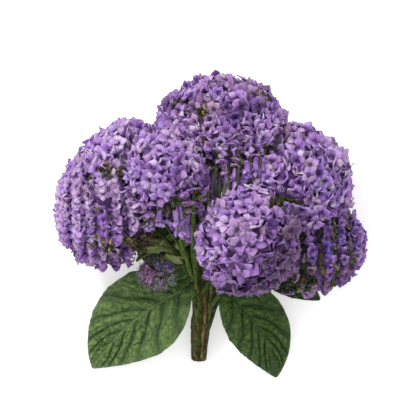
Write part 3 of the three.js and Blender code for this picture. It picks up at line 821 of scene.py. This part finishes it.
def petals(shell, origin, out, axis, start, end, length, width, cup, phase, tone, cream, grid=FINE):
    """Petals that leave each origin towards out, curving from angle start to end over the plane across
    axis. All arguments but the grid have one row or number for each petal. cream below 0 is blue."""
    u = grid[0][None, :, None]
    v = grid[1][None, None, :]
    start, end, length, width, cup, phase = (
        np.asarray(x)[:, None, None] for x in (start, end, length, width, cup, phase)
    )
    swing = np.where(np.abs(end - start) < 1e-3, 1e-3, end - start)
    angle = start + swing * u
    reach = FLORET["throat"] + length * (np.sin(angle) - np.sin(start)) / swing
    rise = -length * (np.cos(angle) - np.cos(start)) / swing
    spread = 0.34 + 0.66 * np.sin(0.5 * math.pi * np.minimum(1, u / 0.5))
    spread = spread * (1 - 0.92 * np.maximum(0, (u - 0.5) / 0.5) ** 1.5)
    sideways = v * width * spread
    back = -0.1 * v ** 2 * length * u ** 4
    lift = cup * width * v ** 2 * u + 0.17 * np.sin(phase + 3.4 * v + 2 * u) * u ** 2 * width
    lift = lift + 0.06 * np.sin(2.3 * phase + 7 * v) * u * width - 0.09 * width * (1 - np.abs(v)) ** 4
    across_petal = np.cross(axis, out)
    rim_free = np.zeros((len(grid[0]), len(grid[1])))
    rim_free[1:-1, 1:-1] = 1
    sheets = []
    for side, part in ((0.5, np.s_[:]), (-0.5, np.s_[:, 1:-1, 1:-1])):
        h = lift + side * FLORET["thickness"] * rim_free
        r = reach + back * np.cos(angle) - h * np.sin(angle)
        z = rise + back * np.sin(angle) + h * np.cos(angle)
        point = origin[:, None, None] + out[:, None, None] * r[..., None]
        point = point + axis[:, None, None] * z[..., None]
        point = point + across_petal[:, None, None] * (sideways + 0 * r)[..., None]
        sheets.append(point[part].reshape(len(origin), -1, 3))
    points = np.concatenate(sheets, axis=1)
    # The rim share, paler partly as painted highlight, and the throat share, darker as painted shade.
    rim = (0.65 * smoothstep(0.3, 1.0, u) + 0.35 * smoothstep(0.5, 1.0, np.abs(v)) * u)[0]
    throat = smoothstep(0.5, 0.0, u + 0 * v)[0]
    tint = np.empty((*points.shape[:2], 4))
    for channel, value in ((0, rim), (1, throat)):
        tint[..., channel] = np.concatenate([value.ravel(), value[1:-1, 1:-1].ravel()])
    tint[..., 2] = np.reshape(tone, (-1, 1))
    tint[..., 3] = np.reshape(cream, (-1, 1))
    quads = petal_grid(*rim_free.shape)
    faces = np.arange(len(origin))[:, None, None] * points.shape[1] + quads
    shell.add(points, [faces.reshape(-1, 4)], tint.reshape(-1, 4))


def dome_florets(head, draw):
    """The florets of a head's dome: a dictionary of arrays with a row for each floret."""
    at, normal, theta = head.pressed_dome()
    count = len(at)
    rowed = head.in_rows(at)
    height = at[:, 1] / head.radii[1]

    # Towards the foot of the head, as the plant stood, florets hang down along the dome.
    low = smoothstep(0.1, -0.4, height)
    hang = smoothstep(math.radians(head.skirt - 8), math.radians(head.skirt + 6), theta) * low
    hanging = draw.random(count) < hang
    u, v = across(normal)
    lean = draw.normal(0, 0.4, (count, 2)) * (0.5 + 0.5 * np.abs(normal[:, 2:]))
    down = np.array([0, -head.fall, 0]) + rowed[:, None] * (0, 0, 0.5) + head.lift * head.pole
    axis = unit(normal + u * lean[:, :1] + v * lean[:, 1:] + down)
    droop = unit(np.array([0, -1.0, 0]) + 0.3 * normal + draw.normal(0, 0.12, (count, 3)))
    axis = np.where(hanging[:, None], droop, axis)

    # How open each floret is: open, half open, with petals curled in, or still a bud.
    kind = np.where(hanging, 1, draw.choice(4, count, p=head.kinds))
    start = np.choose(kind, [0.8, 1.25, 0.8, 1.3]) + draw.normal(0, 0.15, count)
    end = np.choose(kind, [-0.5, 0.0, 1.1, 1.5]) + draw.normal(0, 0.25, count)
    size = draw.normal(1, 0.09, count) * np.choose(kind, [1.0, 1.0, 1.0, 0.7]) * head.row_size(at)
    size = size * (1 + head.larger * smoothstep(0.3, -0.7, height))
    rise = FLORET["petal"] * head.petal[0] * size * np.maximum(0.1, np.sin(0.5 * (start + end)))
    depth = rise * np.where(hanging, 0.3, 0.9) + draw.uniform(-0.4, 1.2, count) + 0.8

    # Their colours, and where they have dropped.
    tone = 0.55 + head.tone + draw.normal(0, 0.12, count) - 0.1 * hanging
    tone = tone + 0.1 * value_noise(head.centre + at, 14, 5)
    # Painted shade: darker along the band of a groove, and darker towards one side of the head by its
    # shade.
    if head.band:
        y, wide, reach, share = head.band
        tone = tone - share * np.exp(-((at[:, 1] - y) / wide) ** 2) * (np.abs(at[:, 0]) < reach)
    x, y, share = head.shade
    tone = tone - share * smoothstep(-0.2, 0.95, at[:, :2] / head.radii[:2] @ (x, y))
    bare, green, dry = draw.random(count) < 0.015, draw.random(count) < 0.3, np.zeros(count)
    for x, y, reach_x, reach_y, share, green_share in head.bare:
        place = (head.centre + at)[:, :2] - (x, y)
        far = np.hypot(place[:, 0] / reach_x, place[:, 1] / reach_y)
        bare |= (far < 1) & (draw.random(count) < share)
        green |= (far < 1) & (draw.random(count) < green_share)
        dry += 0.4 * ((far < 1 + 5 / (reach_x + reach_y)) & (draw.random(count) < 0.5))
    dry += 0.25 * smoothstep(0.1, 0.7, value_noise(head.centre + at, 11, 23))
    return dict(
        origin=head.centre + at - normal * depth[:, None], axis=axis, start=start, end=end, size=size,
        tone=tone, long=np.where(hanging, 1.5, 1.0) * size, wide=np.where(hanging, 1.5, 1.15) * size,
        bare=bare, green=green, dry=dry, blue=draw.random(count) ** 1.5 * (0.35 + head.blue * rowed),
    )


def hanging_tubes(petal_shell, green_shell, head, draw):
    """Long closed florets that hang under the lower edge of a head, and green shoots between them."""
    rings = 28
    share = np.linspace(0, 1, rings)
    for x, y, z, length, wide in head.tubes:
        top = np.array([x, y, z]) + draw.normal(0, 0.7, 3)
        tone = 0.42 + head.tone + draw.normal(0, 0.12)
        lean = draw.normal(0, 0.07, 2)
        axis = unit([lean[0], -1.0, lean[1] - 0.35])
        long = length * draw.uniform(0.8, 1.1)
        line = [top, top + axis * 0.5 * long + draw.normal(0, 0.4, 3), top + axis * long]
        shade = tone + 0.12 * np.sin(9 * share + draw.uniform(0, 6))
        tint = tints(rings, red=0.2 + 0.4 * smoothstep(0.6, 1.0, share), blue=shade)
        radii = np.array([1.1, 1.4, 1.3, 1.35, 1.6, 1.5, 0.7]) * wide * draw.uniform(0.75, 1.15, 7)
        sweep(petal_shell, line, radii, 12, rings, tint, 5, 0.14, 0.35)

        # Small petals at the mouth and up the side of the tube.
        count = TUBE_PETALS
        up = draw.uniform(0, 0.8, count) ** 2.5 * long
        foot = line[-1] - axis * (0.8 + up)[:, None]
        out = spokes(*across(axis), np.arange(count) * 2.4 + draw.uniform(0, 6))
        petals(
            petal_shell, foot + out * 0.7 * wide, out, np.repeat([axis], count, axis=0),
            draw.normal(1.3, 0.2, count), draw.normal(1.2, 0.4, count), draw.normal(3.2, 0.5, count) * wide,
            draw.normal(1.5, 0.2, count) * wide, draw.normal(-0.4, 0.2, count), draw.uniform(0, 6, count),
            tone + draw.normal(0.08, 0.12, count), -0.5 * draw.random(count) ** 2,
        )
        side = top + np.array([draw.choice([-1, 1]) * 2.4, -0.5, -2.2])
        shoot = [side + (0, 3, 0), side - (0, 0.45 * long, 0.3), side - (draw.normal(0, 0.5), long, 1)]
        sweep(green_shell, shoot, (0.5, 0.9, 0.3), 8, 16, (0, 0, draw.uniform(0.1, 0.7), 0), 3, 0.15, 0.15)


def bloom(head, petal_material, green_material):
    draw = dice("bloom", head.name)
    every = dome_florets(head, draw)
    bare = every.pop("bare")
    kept = {key: value[~bare] for key, value in every.items()}
    origin, axis, size, tone = (kept[key] for key in ("origin", "axis", "size", "tone"))
    count = len(size)

    shell = Shell()
    five = np.repeat(np.arange(count), 5)
    total = len(five)
    u, v = across(axis)
    spin = draw.uniform(0, 2 * math.pi, count)
    angle = spin[five] + fifths(count) + draw.normal(0, 0.12, total)
    cream = np.where(draw.random(total) < 0.22, draw.uniform(0, 0.25, total), 0)
    cream = cream + kept["dry"][five] * draw.random(total)
    # 8% of the petals are lighter, as painted highlights.
    petal_tone = tone[five] + draw.normal(0, 0.15, total) + 0.25 * (draw.random(total) < 0.08)
    petals(
        shell, origin[five], spokes(u[five], v[five], angle), axis[five],
        kept["start"][five] + draw.normal(0, 0.25, total), kept["end"][five] + draw.normal(0, 0.4, total),
        FLORET["petal"] * size[five] * draw.normal(1, 0.08, total) * head.petal[0],
        FLORET["half_width"] * size[five] * draw.normal(1, 0.1, total) * head.petal[1],
        draw.normal(-0.08, 0.25, total), draw.uniform(0, 2 * math.pi, total),
        petal_tone, np.where(cream > 0, cream, -kept["blue"][five]),
    )

    # The tube under the petals, with its throat a small dish darkened with painted shade.
    tube = (FLORET["tube"] * kept["long"])[:, None]
    heights = np.array([-1.0, -0.6, -0.1, 0.0]) * tube
    heights[:, 3] = -0.15
    tint = np.zeros((count, 4, 4))
    tint[..., 0] = np.array([0.0, 0.2, 0.7, 0.0])
    tint[..., 2] = tone[:, None] - 0.05
    tint[:, 3, 1] = 1.0
    radii = np.array([0.45, 0.62, 0.8, 0.3]) * kept["wide"][:, None]
    lathes(shell, origin, axis, heights, radii, 7, tint)

    # What is in a gap between two rows is drawn inwards, and darkened with painted shade.
    for i, points in enumerate(shell.points):
        shell.points[i] = head.pleated(points)
        shade = head.groove(points - head.centre)
        shell.tints[i] = shell.tints[i] - np.outer(shade, (0, 0, 0.4, 0))
    core(shell, head)
    greens = Shell()
    hanging_tubes(shell, greens, head, draw)
    make_object("bloom_" + head.name, shell, petal_material, ["florets_" + head.name])

    # Green calyces round the feet of the tubes, and those that cover the underside of the head.
    foot, tint = origin - axis * tube, tints(count, blue=draw.uniform(0.2, 0.7, count))
    low = axis[:, 2] < 0.2
    lathes(greens, foot[low], axis[low], [-1.4, -0.9, 0.3, 1.3], [0.25, 0.75, 0.95, 0.8], 5, tint[low])
    bare &= every["green"]
    bare_calyces(greens, every["origin"][bare], every["axis"][bare], head.tan, draw)
    gap_bits(greens, head, draw)
    underside(greens, head, draw)
    make_object("calyces_" + head.name, greens, green_material)


def calyx_stars(shell, foot, axis, size, tone, tan, draw):
    """A star of five pointed sepals at each foot, opening along its axis."""
    each = np.repeat(np.arange(len(foot)), 5)
    total = len(each)
    u, v = across(axis)
    angle = fifths(len(foot)) + draw.normal(0, 0.2, total)
    out = spokes(u[each], v[each], angle + np.repeat(draw.uniform(0, 6, len(foot)), 5))
    petals(
        shell, foot[each], out, axis[each], draw.normal(1.2, 0.2, total), draw.normal(0.4, 0.5, total),
        3.2 * size[each], 0.95 * size[each], draw.normal(0.5, 0.3, total), draw.uniform(0, 6, total),
        tone[each] + draw.normal(0, 0.12, total), tan[each], COARSE,
    )


def bare_calyces(shell, origin, axis, tan_share, draw):
    """Bunches of calyces where florets have dropped."""
    each = np.repeat(np.arange(len(origin)), 5)
    count = len(each)
    if not count:
        return
    axis = unit(axis[each] + draw.normal(0, 0.45, (count, 3)))
    foot = origin[each] + draw.normal(0, 1.8, (count, 3)) - axis * 1.4
    tan = np.where(draw.random(count) < tan_share, draw.uniform(0.4, 1.0, count), 0)
    tone = draw.uniform(0, 0.35 + 0.4 * tan_share, count)
    calyx_stars(shell, foot, axis, draw.uniform(0.8, 1.5, count), tone, tan, draw)


def gap_bits(shell, head, draw):
    """Olive and tan stalks and calyces that show in the gaps between hanging rows."""
    radii = head.radii
    for gap in head.gaps:
        at = np.zeros((BITS_IN_A_GAP, 3))
        at[:, 0] = gap - head.centre[0]
        at[:, 1] = np.linspace(-0.84, 0.95, BITS_IN_A_GAP) * radii[1] + draw.normal(0, 0.5, BITS_IN_A_GAP)
        at[:, 0] -= head.row_wave(at)
        inside = 1 - np.sum((head.turned(at, -1) / radii)[:, :2] ** 2, axis=1)
        at[:, 2] = radii[2] * np.sqrt(np.maximum(0, inside))
        shown = (inside > 0.03) & (draw.random(BITS_IN_A_GAP) < head.gap[2] * head.in_rows(at))
        at = head.on_dome(at[shown])
        count = len(at)
        if not count:
            continue
        out = unit(at / radii ** 2)
        foot = head.centre + at - out * draw.uniform(2.8, 4.6, count)[:, None]
        foot = foot + draw.normal(0, 0.5, (count, 3))
        axis = unit(np.array([0, -1.0, 0]) + 0.5 * out + draw.normal(0, 0.25, (count, 3)))
        tone = 0.8 * draw.random(count) ** 1.6
        tan = np.where(draw.random(count) < 0.6, draw.uniform(0.3, 1.0, count), 0)
        heights = np.array([-1.5, 0, 1.6, 3.0, 3.8]) * draw.uniform(0.7, 1.3, count)[:, None]
        tint = tints(count, blue=tone, alpha=tan)
        lathes(shell, foot, axis, heights, [0.4, 0.8, 0.75, 0.9, 0.2], 6, tint)
        calyx_stars(shell, foot + axis * 1.5, axis, draw.uniform(0.5, 0.9, count), tone, tan, draw)


def core(shell, head):
    """A head's inside, dark as painted shade: a smaller ellipsoid cut at the contact planes and the
    underside.
    """
    way, faces = ball((head.pole, *head.sides), 34, 56, 0.02)
    whole = reach = head.reach(way, CORE_DEPTH)
    cuts = [(n, distance - CORE_DEPTH) for _, n, distance in head.contact_planes()]
    for n, distance in [*cuts, (-head.pole, -head.core_start() - 0.5)]:
        facing = way @ n
        reach = np.minimum(reach, np.where(facing > 1e-3, distance / np.maximum(facing, 1e-3), 1e9))
    points = head.centre + way * reach[..., None]
    points = points + way * (1.2 * value_noise(points, 2.6, 9))[..., None]
    tone = 0.1 + 0.35 * value_noise(points.reshape(-1, 3), 2.6, 12)
    tint = tints(way[..., 0].size, green=0.3, blue=tone)
    # Painted shade: darker still where the core is cut back, between heads and at the underside.
    tint[:, :3] -= 0.3 * smoothstep(0.2, 2.5, (whole - reach).ravel())[:, None]
    shell.add(points, faces, tint)


def underside(shell, head, draw):
    """Short green calyces over the cut underside of the core, pointing back towards the fork."""
    count = UNDERSIDE_CALYCES
    golden = math.pi * (3 - math.sqrt(5))
    share = np.sqrt((np.arange(count) + 0.5) / count)[:, None]
    side = spokes(*head.sides, golden * np.arange(count))
    rim = head.reach(side, CORE_DEPTH)[:, None] * 0.9
    at = head.centre + head.pole * (head.core_start() + 1.5) + side * (rim * share)
    axis = unit(-head.pole + 0.5 * side * share + draw.normal(0, 0.2, (count, 3)))
    tint = tints(count, blue=draw.uniform(0.1, 0.6, count))
    lathes(shell, at, axis, [0.0, 1.6, 3.2, 4.4], [1.2, 1.3, 0.8, 0.25], 5, tint)


def open_buds(shell, head, draw):
    for x, y, large, pink, blue in BUD_FLORETS:
        side = (np.array([x, y]) - head.centre[:2]) / head.radii[:2]
        lift = math.sqrt(max(0.1, 1 - side @ side)) * head.radii[2]
        top = np.array([x, y, head.centre[2] + lift + 0.3])
        way = unit(np.append(side, 1.0) + draw.normal(0, 0.3, 3))
        petals(
            shell, np.repeat([top], 5, axis=0),
            spokes(*across(way), np.arange(5) * 1.257 + draw.uniform(0, 6)),
            np.repeat([way], 5, axis=0), draw.normal(1.1, 0.3, 5), draw.normal(0.5, 0.6, 5),
            draw.normal(2.5, 0.4, 5) * large, draw.normal(0.95, 0.15, 5) * large, draw.normal(0, 0.3, 5),
            draw.uniform(0, 6, 5), 0, 0,
        )
        rim = shell.tints[-1][:, 0]
        shell.tints[-1] = tints(len(rim), 0.6 + rim * 0.5, 0.8 * pink, 0.7 * blue)


def bud_hairs(shell, head, at, normal, draw):
    count = len(at)
    for _ in range(HAIRS_ON_A_BUD):
        way = unit(normal + draw.normal(0, 0.7, (count, 3)))
        root = head.centre + at + draw.normal(0, 0.8, (count, 3)) - normal * 0.7
        long = (draw.uniform(0.9, 2.0, count) + 1.8 * (at[:, 0] > 0) * draw.random(count))[:, None]
        sag = draw.normal(0, 0.45, (count, 4, 3)) * np.array([0, 0.4, 1.0, 1.4])[None, :, None]
        heights = np.array([0, 0.4, 0.75, 1]) * long
        lathes(shell, root, way, heights, [0.14, 0.13, 0.1, 0.03], 3, (0.8, 0, 0, 0), sag)


def bud_pieces(material, hair_material):
    head, draw = BUD_HEAD, dice("buds")
    at, normal, _ = head.dome()
    count = len(at)
    axis = unit(normal + draw.normal(0, 0.5, (count, 3)))
    size = draw.normal(1, 0.2, count)[:, None]
    pink = smoothstep(5.5, 2.5, np.hypot(at[:, 0] + 3, at[:, 1] - 0.5)) + 0.5 * (draw.random(count) < 0.06)
    blue = smoothstep(4.5, 2.5, np.hypot(at[:, 0] - 6, at[:, 1] - 5)) + (draw.random(count) < 0.08)
    tint = tints(
        count, draw.uniform(0.0, 1.0, count), pink * draw.uniform(0.1, 1, count),
        blue * draw.uniform(0.2, 1, count) * (pink < 0.1),
    )
    foot = head.centre + at + normal * value_noise(at, 4, 8)[:, None] - axis * 3.4 * size
    heights = np.array([0.0, 0.9, 2.0, 2.9, 3.5]) * size
    radii = np.array([0.4, 1.0, 1.2, 0.9, 0.2]) * size * draw.uniform(0.7, 1.1, (count, 1))
    buds, hairs = Shell(), Shell()
    lathes(buds, foot, axis, heights, radii, 8, tint)
    open_buds(buds, head, draw)
    # A dark ball inside the cluster, its dark tone painted shade between the buds.
    way, faces = ball(((0, 0, 1), (1, 0, 0), (0, 1, 0)), 20, 28, 0.03)
    buds.add(head.centre + way * head.reach(way, BUD_CORE_DEPTH)[..., None], faces, (0.1, 0, 0, 0))
    make_object("bud_cluster", buds, material, ["florets_bud"])
    bud_hairs(hairs, head, at, normal, draw)
    make_object("bud_hairs", hairs, hair_material)


# Stem, stalks and arms


def arm_lines(head, fork):
    """Lines from the fork at the end of a stalk to places on the underside of its head's core."""
    u, v = head.sides
    under = head.centre + head.pole * head.core_start()
    fork = np.array(fork, float)
    lines = []
    for i in range(ARMS["count"]):
        angle = 2 * math.pi * (i + 0.25) / ARMS["count"]
        side = u * math.cos(angle) + v * math.sin(angle)
        end = under + side * ARMS["reach"] * float(head.reach(side)) + head.pole * ARMS["sunk"]
        bend = fork + 0.55 * (end - fork) + side * 0.12 * np.linalg.norm(end - fork)
        lines.append([fork, bend, end])
    return lines


def strands(shell, draw):
    """Ribs and thin shoots that lie along the stem and run on into its stalks."""
    line = np.array(STEM["line"], float)
    radius_at = np.linspace(line[0, 1], line[-1, 1], len(STEM["radii"]))
    for x, low, high, radius, bark, tone in STRANDS:
        y = np.linspace(low, high, 9)
        radii = np.interp(y, radius_at, STEM["radii"])
        middle = np.stack([np.interp(y, line[:, 1], line[:, k]) for k in range(3)], axis=1)
        side = np.interp(y, STRAND_HEIGHTS, x) - middle[:, 0] + draw.normal(0, 0.35, 9)
        lifted = np.sqrt(np.maximum(0.3, radii ** 2 - np.minimum(np.abs(side), radii) ** 2))
        points = np.stack([middle[:, 0] + side, y, middle[:, 2] + lifted - 0.25 * radius], axis=1)
        widths = (0.5 * radius, radius, radius, 0.8 * radius)
        sweep(shell, points, widths, 12, 70, (tone, bark, 0, 0), 3, 0.15, 0.3)


def stem_piece(material, draw):
    shell = Shell()
    rings = 130
    tint = tints(rings, 0.4, 0.7 - 0.9 * smoothstep(0.12, 0.5, np.linspace(0, 1, rings)))
    sweep(shell, STEM["line"], STEM["radii"], 40, rings, tint, STEM["ribs"], STEM["rib_depth"], 0.45)
    strands(shell, draw)
    end = np.array(STEM["line"][0], float)
    lathes(shell, end, (0, -1.0, -0.1), [-1.5, 0, 0.7, 1.1], [4.1, 4.1, 3.3, 1.2], 32, (0.2, 0.9, 0, 0))
    for head in (*HEADS.values(), BUD_HEAD):
        line = head.stalk or STEM["line"]
        if head.stalk:
            sweep(shell, line, head.stalk_radii, 14, 50, (0.42, 0.0, 0, 0), 4, 0.08, 0.15)
        thin = 0.55 if head is BUD_HEAD else 1
        for arm in arm_lines(head, line[-1]):
            sweep(shell, arm, [r * thin for r in ARMS["radii"]], 10, 18, (0.4, 0, 0, 0), 3, 0.05, 0.05)
    make_object("stem_and_stalks", shell, material, ["stem"])


def shoot_pieces(material, green_material):
    front, greens = Shell(), Shell()
    for line, radius, tone in FRONT_SHOOTS:
        widths = [radius * k for k in SHOOT_WIDTHS]
        sweep(front, line, widths, 14, 60, (tone, -0.3, 0, 0), 3, 0.15, 0.3)
    for line, radius, tone in SHOOTS:
        widths = [radius * k for k in SHOOT_WIDTHS]
        sweep(greens, line, widths, 10, 40, (0, 0, tone, 0), 3, 0.15, 0.3)
    make_object("front_shoots", front, material)
    make_object("shoots", greens, green_material)


# Leaves


def pillows(place):
    """Height of the puffed skin between the small veins of a flat leaf, from 0 in the creases to 1."""
    x, y = place[..., 0] / 3.8, place[..., 1] / 3.8
    a = 0.6 * x + 0.8 * y + 0.8 * value_noise(place, 5, 7) + 0.3 * value_noise(place, 2.2, 3)
    b = 0.8 * x - 0.6 * y + 0.8 * value_noise(place, 5, 8) + 0.3 * value_noise(place, 2.2, 4)
    return np.abs(np.sin(math.pi * a) * np.sin(math.pi * b)) ** 0.4


def leaf_surface(leaf, s, out_signed, lift=0.0):
    """Points of a blade at s along the midrib and out_signed from -1 to 1 across, and their normals, the
    height over the veins that colours it, lighter on the crests as painted highlight and darker in the
    creases as painted shade, the nearness to the veins and creases, darker partly as their own colour and
    partly as painted shade, and the share of the pale midrib."""
    base, tip = np.array(leaf["base"], float), np.array(leaf["tip"], float)
    along = tip - base
    flat_side = unit(np.array([-along[1], along[0], 0]))
    middle = (base + tip) / 2 + flat_side * 2 * leaf["bow"] + np.array([0, 0, 2 * leaf["arch"]])
    out = np.abs(out_signed)
    t = (1 - (1 - s) ** (1 + BLADE["sweep"] * out ** 1.15))[..., None]
    place = (1 - t) ** 2 * base + 2 * t * (1 - t) * middle + t ** 2 * tip
    tangent = unit(2 * (1 - t) * (middle - base) + 2 * t * (tip - middle))
    side = unit(np.cross([0.0, 0.0, 1.0], tangent))
    side = math.cos(leaf["roll"]) * side + math.sin(leaf["roll"]) * np.cross(tangent, side)
    normal = unit(np.cross(tangent, side))
    t = t[..., 0]
    run = t * np.linalg.norm(along)
    half = out_signed > 0

    # The outline: its half width at each t, with a slightly wavy edge.
    sharp = 0.9
    blunt = sharp * BLADE["widest_at"] / (1 - BLADE["widest_at"])
    widest = BLADE["widest_at"] ** blunt * (1 - BLADE["widest_at"]) ** sharp
    edge = np.stack([run, 50.0 * half, 0 * t], axis=-1)
    wavy = 1 + 0.018 * value_noise(edge, 4, 21) + 0.012 * value_noise(edge, 1.7, 22)
    width = leaf["half_width"] * wavy * t ** blunt * (1 - t) ** sharp / widest + 0.6

    # Side veins part the blade into strips, and a net of small veins parts each strip into pillows.
    strip = s * (leaf["veins"] + 1) + 0.28 * half + 0.07 * np.sin(9 * out + 5 * half)
    from_vein = np.abs(strip - np.round(strip))
    spacing = np.linalg.norm(along) / (leaf["veins"] + 1)
    plain = smoothstep(0.62, 0.95, s)
    dome = np.sin(math.pi * from_vein) ** 0.5 * (1 - plain) + 0.7 * plain
    pillow = pillows(np.stack([run, out_signed * width, 0 * t], axis=-1))
    at_edge = np.sin(math.pi * np.clip(1.06 * (1 - out), 0, 0.5)) ** 0.6
    at_midrib = smoothstep(0, 1.6, out * width)
    height = (1.4 * dome - 0.8) + 1.1 * dome * (pillow - 0.6)
    groove = np.exp(-(out * width / 0.5) ** 2)
    swell = leaf["relief"] * (height * at_edge * at_midrib - 0.35 * groove)
    cup = 0.1 * width * out ** 2
    point = place + side * (out_signed * width)[..., None]
    fine = 0.2 * value_noise(point, 1.5, 4) + 0.12 * value_noise(point, 0.8, 6)
    total = (swell + cup) * np.minimum(1, 6 * t * (1 - t) + 0.15) + fine * leaf["relief"] * at_edge + lift
    point = point + normal * total[..., None]
    # Darker near the veins, partly their own colour; in the creases between pillows and the midrib groove,
    # painted shade.
    vein_and_crease_shade = np.exp(-(from_vein * spacing / 0.42) ** 2) * at_midrib * (1 - 0.8 * plain)
    vein_and_crease_shade = np.maximum(np.maximum(vein_and_crease_shade, 0.2 * (1 - pillow) * at_midrib), (1 - leaf["midrib"]) * groove)
    midrib = leaf["midrib"] * np.exp(-(out * width / 0.32) ** 2) * smoothstep(1.0, 0.85, s)
    # The returned height lightens the crests as painted highlight and darkens the creases as painted shade.
    return point, normal, 0.05 + 0.6 * dome * (0.35 + 0.65 * pillow) + 0.5 * fine, vein_and_crease_shade, midrib


def blade(shell, leaf, rows, columns):
    """A leaf's blade: an upper and a lower sheet of rows by columns points with a wall round the edge."""
    s, out = np.meshgrid(np.linspace(0, 1, rows), np.linspace(-1, 1, columns), indexing="ij")
    point, normal, height, vein_and_crease_shade, midrib = leaf_surface(leaf, s, out)
    edge = 1 - 0.75 * np.abs(out) ** 8
    half = (BLADE["thickness"] / 2 * edge)[..., None] * normal
    a = (np.arange(rows - 1)[:, None] * columns + np.arange(columns - 1)[None]).ravel()
    upper = np.stack([a, a + columns, a + columns + 1, a + 1], axis=1)
    lower = upper[:, ::-1] + rows * columns
    ring = np.concatenate([
        np.arange(columns), np.arange(2, rows + 1) * columns - 1,
        (rows - 1) * columns + np.arange(columns - 2, -1, -1), np.arange(rows - 2, 0, -1) * columns,
    ])
    after = np.roll(ring, -1)
    wall = np.stack([ring, after, after + rows * columns, ring + rows * columns], axis=1)
    tint = np.stack([height, vein_and_crease_shade, np.full_like(vein_and_crease_shade, leaf["dark"]), midrib], axis=-1).reshape(-1, 4)
    shell.add(np.stack([point + half, point - half]), [upper, lower, wall], np.concatenate([tint] * 2))


def leaf_piece(name, leaf, material):
    shell = Shell()
    blade(shell, leaf, *leaf["grid"])
    tint = (0.5, 0.3, leaf["dark"], 0)
    sweep(shell, [*leaf["petiole"], leaf["base"]], BLADE["petiole_radii"], 14, 24, tint, 3, 0.06)
    spine = leaf_surface(leaf, np.linspace(0, 0.97, 12), np.zeros(12), -0.9)[0]
    sweep(shell, spine, (1.0, 0.25), 10, 50, tint)
    make_object(name + "_blade", shell, material, [name])


def small_leaf_piece(name, leaves, less, material, draw):
    """Small leaves in pairs, a large one in its place and one less large near it."""
    shell = Shell()
    for foot, tip, half_width, tone in leaves:
        for large, apart in ((0.85, 0), (0.6, 2.5)):
            leaf = dict(
                base=foot, tip=tip + draw.normal(0, apart, 3), half_width=large * half_width,
                roll=draw.normal(0, 0.4), dark=tone - less + draw.normal(0, 0.15), bow=draw.normal(0, 1),
                arch=1.2, veins=4, relief=0.6, midrib=0.15,
            )
            blade(shell, leaf, 26, 11)
    make_object(name, shell, material)


# Scene


def floor():
    side = FLOOR_HALF_SIDE
    mesh = bpy.data.meshes.new("floor")
    corners = [(-side, -side, 0), (side, -side, 0), (side, side, 0), (-side, side, 0)]
    mesh.from_pydata(corners, [], [(0, 1, 2, 3)])
    look = Look("floor", 0.9, 0.1, **{"Emission Strength": 0.45, "Emission Color": (1, 1, 1, 1)})
    paper = look.ramp(look.noise(6.0, 4.0), (0.3, 246, 246, 247), (0.7, 250, 250, 250))
    mesh.materials.append(look.colour(paper))
    obj = placed("floor", mesh)
    obj.visible_diffuse = False


def camera():
    data = bpy.data.cameras.new("camera")
    obj = placed("camera", data)
    x = (PHOTO_SIDE / 2 - ORIGIN_PIXEL[0]) * PIXEL
    y = (ORIGIN_PIXEL[1] - PHOTO_SIDE / 2) * PIXEL
    obj.location = Vector((x, y, CAMERA_HEIGHT)) * MM
    data.sensor_width = 36
    data.lens = data.sensor_width * (CAMERA_HEIGHT - FOCUS_HEIGHT) / (PHOTO_SIDE * PIXEL)
    data.clip_start = 0.1
    data.clip_end = 20
    bpy.context.scene.camera = obj


def light():
    world = bpy.data.worlds.new("studio")
    world.use_nodes = True
    background = world.node_tree.nodes["Background"]
    background.inputs[0].default_value = (1, 1, 1, 1)
    background.inputs[1].default_value = WORLD_STRENGTH
    bpy.context.scene.world = world
    data = bpy.data.lights.new("key", "AREA")
    data.shape = "DISK"
    data.size = KEY_LIGHT["size"]
    data.energy = KEY_LIGHT["power"]
    data.color = KEY_LIGHT["colour"]
    obj = placed("key", data)
    obj.location = KEY_LIGHT["place"]
    obj.rotation_euler = (-Vector(KEY_LIGHT["place"])).to_track_quat("-Z", "Y").to_euler()
    bpy.context.scene.view_settings.view_transform = "Standard"


def build():
    petal_material, green_material = petal_look(), calyx_look()
    for head in HEADS.values():
        bloom(head, petal_material, green_material)
    leaf_material, stem_material = leaf_look(), stem_look()
    draw = dice("stem")
    stem_piece(stem_material, draw)
    shoot_pieces(stem_material, green_material)
    small_leaf_piece("small_leaves", SMALL_LEAVES, 0.05, green_material, draw)
    small_leaf_piece("low_leaves", LOW_LEAVES, 0.3, leaf_material, draw)
    for name, leaf in LEAVES.items():
        leaf_piece(name, leaf, leaf_material)
    bud_pieces(bud_look(), hair_look())
    floor()
    camera()
    light()


build()
